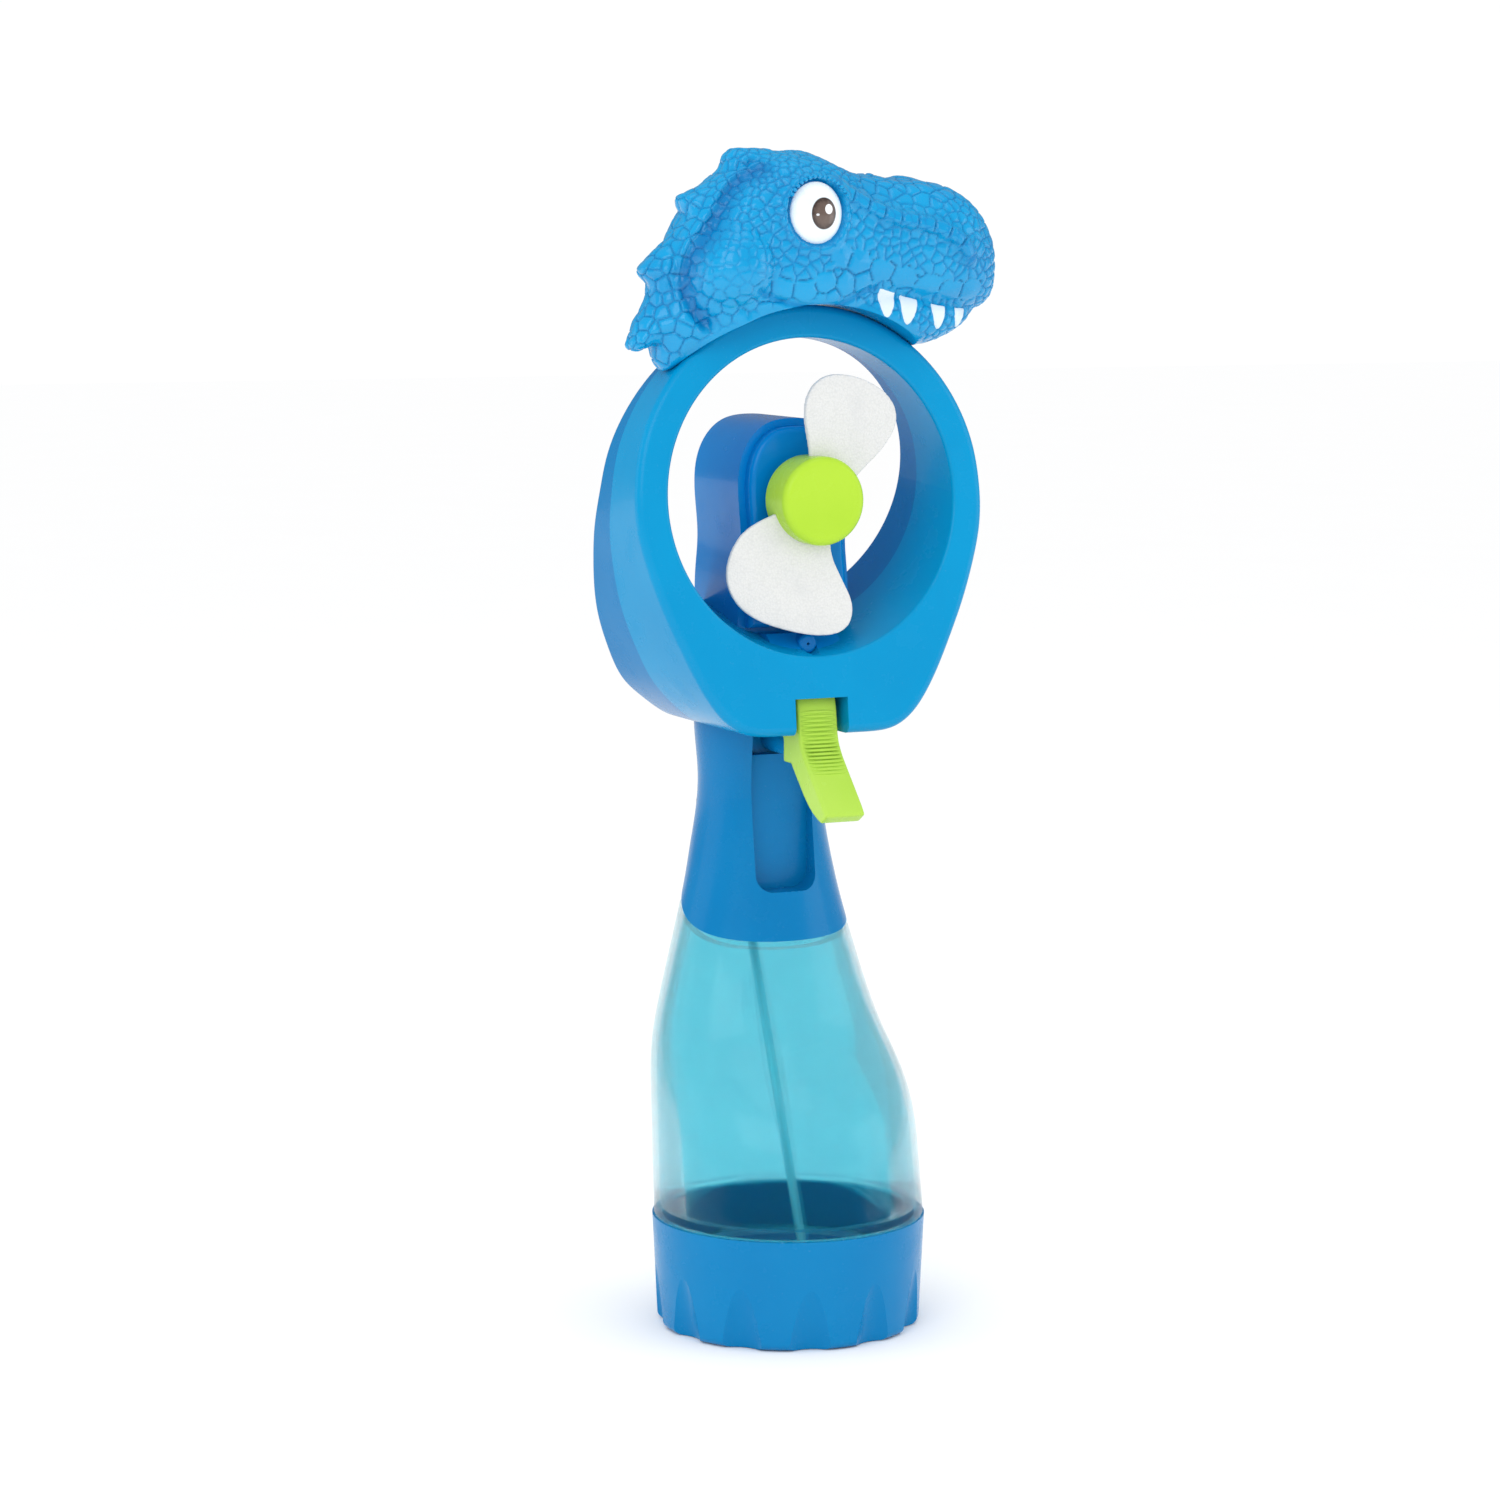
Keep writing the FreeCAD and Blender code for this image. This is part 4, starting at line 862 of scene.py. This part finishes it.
def roundedCopy(node, name, finish, voxel, soften):
    # the node's own shape with its edges eased, as moulding and cutting leave them
    mesh = frame["nodes"][node].data.copy()
    welded = bmesh.new()
    welded.from_mesh(mesh)
    bmesh.ops.remove_doubles(welded, verts=welded.verts, dist=1e-6)
    bmesh.ops.recalc_face_normals(welded, faces=welded.faces)
    welded.to_mesh(mesh)
    welded.free()
    piece = bpy.data.objects.new(name, mesh)
    scene.collection.objects.link(piece)
    mesh.materials.clear()
    mesh.materials.append(looks[finish])
    remeshed(piece, voxel * mm)
    ease = piece.modifiers.new("ease", "SMOOTH")
    ease.factor = 0.5
    ease.iterations = soften
    frozen(piece)
    piece.data.polygons.foreach_set("use_smooth", [True] * len(piece.data.polygons))
    return piece


def softBlade(node, name):
    piece = roundedCopy(node, name, "whiteFoam", foamBlade["voxel"], foamBlade["soften"])
    points = readPoints(piece.data)
    wave = np.sin(points[:, 0] / mm * 0.55 + 1.0) * np.sin(points[:, 2] / mm * 0.48)
    points[:, 1] += foamBlade["ripple"] * mm * wave
    writePoints(piece.data, points)
    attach(piece, "fan")
    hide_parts(node)


softBlade("fan_blade_upper", "foamBladeUpper")
softBlade("fan_blade_lower", "foamBladeLower")
lever = roundedCopy("trigger_lever", "triggerLeverMoulded", "triggerLime", triggerRound["voxel"],
                    triggerRound["soften"])
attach(lever, "trigger")
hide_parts("trigger_lever")

# the real coil closes up as the piston comes back, but this copy keeps its rest shape; it rides the root
# body, so its rear end stays on the cylinder's end wall
coil = bpy.data.objects.new("pumpSpringCoil", frame["nodes"]["pump_spring"].data.copy())
scene.collection.objects.link(coil)
coil.data.materials.clear()
coil.data.materials.append(looks["steel"])
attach(coil, "root")
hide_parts("pump_spring")
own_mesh(coil)
print("foam blades, trigger and spring done")


studio = {
    "camera": (-415.3, -900.9, 267.9), "target": (-8.56, 3.85, 141.35), "lens": 98.76,
    "worldLight": 1.02, "glossLight": 0.3, "floorTone": (0.965, 0.967, 0.97, 1.0),
    "floorDrift": (0.975, 0.976, 0.98, 1),
    # metres
    "floorReach": 6.0, "floorGap": 0.0002,
    "lights": [("key", (-460, -560, 560), 0.5, 1.5), ("fill", (680, -380, 300), 0.45, 0.8),
               ("top", (0, -160, 900), 0.5, 0.7), ("rim", (-700, 260, 300), 0.5, 0.6)],
}


def makeStudio(plan):
    camera = bpy.data.objects.new("camera", bpy.data.cameras.new("camera"))
    scene.collection.objects.link(camera)
    camera.location = Vector(plan["camera"]) * mm
    aim = (Vector(plan["target"]) - Vector(plan["camera"])).to_track_quat("-Z", "Y")
    camera.rotation_euler = aim.to_euler()
    camera.data.lens = plan["lens"]
    camera.data.sensor_width = 36.0
    camera.data.clip_start = 0.01
    scene.camera = camera
    for name, place, size, power in plan["lights"]:
        data = bpy.data.lights.new(name, "AREA")
        data.shape = "SQUARE"
        data.size = size
        data.energy = power
        lamp = bpy.data.objects.new(name, data)
        scene.collection.objects.link(lamp)
        lamp.location = Vector(place) * mm
        lamp.rotation_euler = (Vector((0, 0, 0.15)) - lamp.location).to_track_quat("-Z", "Y").to_euler()
    world = bpy.data.worlds.new("studio")
    scene.world = world
    world.use_nodes = True
    # the room is white to the eye and as light, and dimmer in gloss, as between studio lamps
    tree = world.node_tree
    sky = tree.nodes["Background"]
    sky.inputs[0].default_value = (1, 1, 1, 1)
    sky.inputs[1].default_value = plan["worldLight"]
    gloss = tree.nodes.new("ShaderNodeBackground")
    gloss.inputs[0].default_value = (0.92, 0.94, 1, 1)
    gloss.inputs[1].default_value = plan["glossLight"]
    path = tree.nodes.new("ShaderNodeLightPath")
    through = tree.nodes.new("ShaderNodeMath")
    through.operation = "SUBTRACT"
    through.use_clamp = True
    tree.links.new(path.outputs["Is Glossy Ray"], through.inputs[0])
    tree.links.new(path.outputs["Is Transmission Ray"], through.inputs[1])
    blend = tree.nodes.new("ShaderNodeMixShader")
    tree.links.new(through.outputs[0], blend.inputs[0])
    tree.links.new(sky.outputs[0], blend.inputs[1])
    tree.links.new(gloss.outputs[0], blend.inputs[2])
    tree.links.new(blend.outputs[0], tree.nodes["World Output"].inputs[0])
    floorFinish = Finish("studioFloor", Specular_IOR_Level=0.0)
    paper = floorFinish.mix(plan["floorTone"], plan["floorDrift"], floorFinish.noise(90, 2.0))
    floorFinish.feed("Base Color", paper)
    floorFinish.feed("Roughness", floorFinish.noise(30, 2.0) * 0.1 + 0.85)
    reach = plan["floorReach"]
    corners = [(-reach, -reach, 0), (reach, -reach, 0), (reach, reach, 0), (-reach, reach, 0)]
    floor = newPiece("studioFloorSheet", corners, [(0, 1, 2, 3)], floorFinish.material, smooth=False)
    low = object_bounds()[0][2]
    floor.data.transform(Matrix.Translation((0, 0, low - plan["floorGap"])))
    floor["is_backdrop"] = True
    scene.view_settings.view_transform = "Standard"


makeStudio(studio)
print("studio ready")
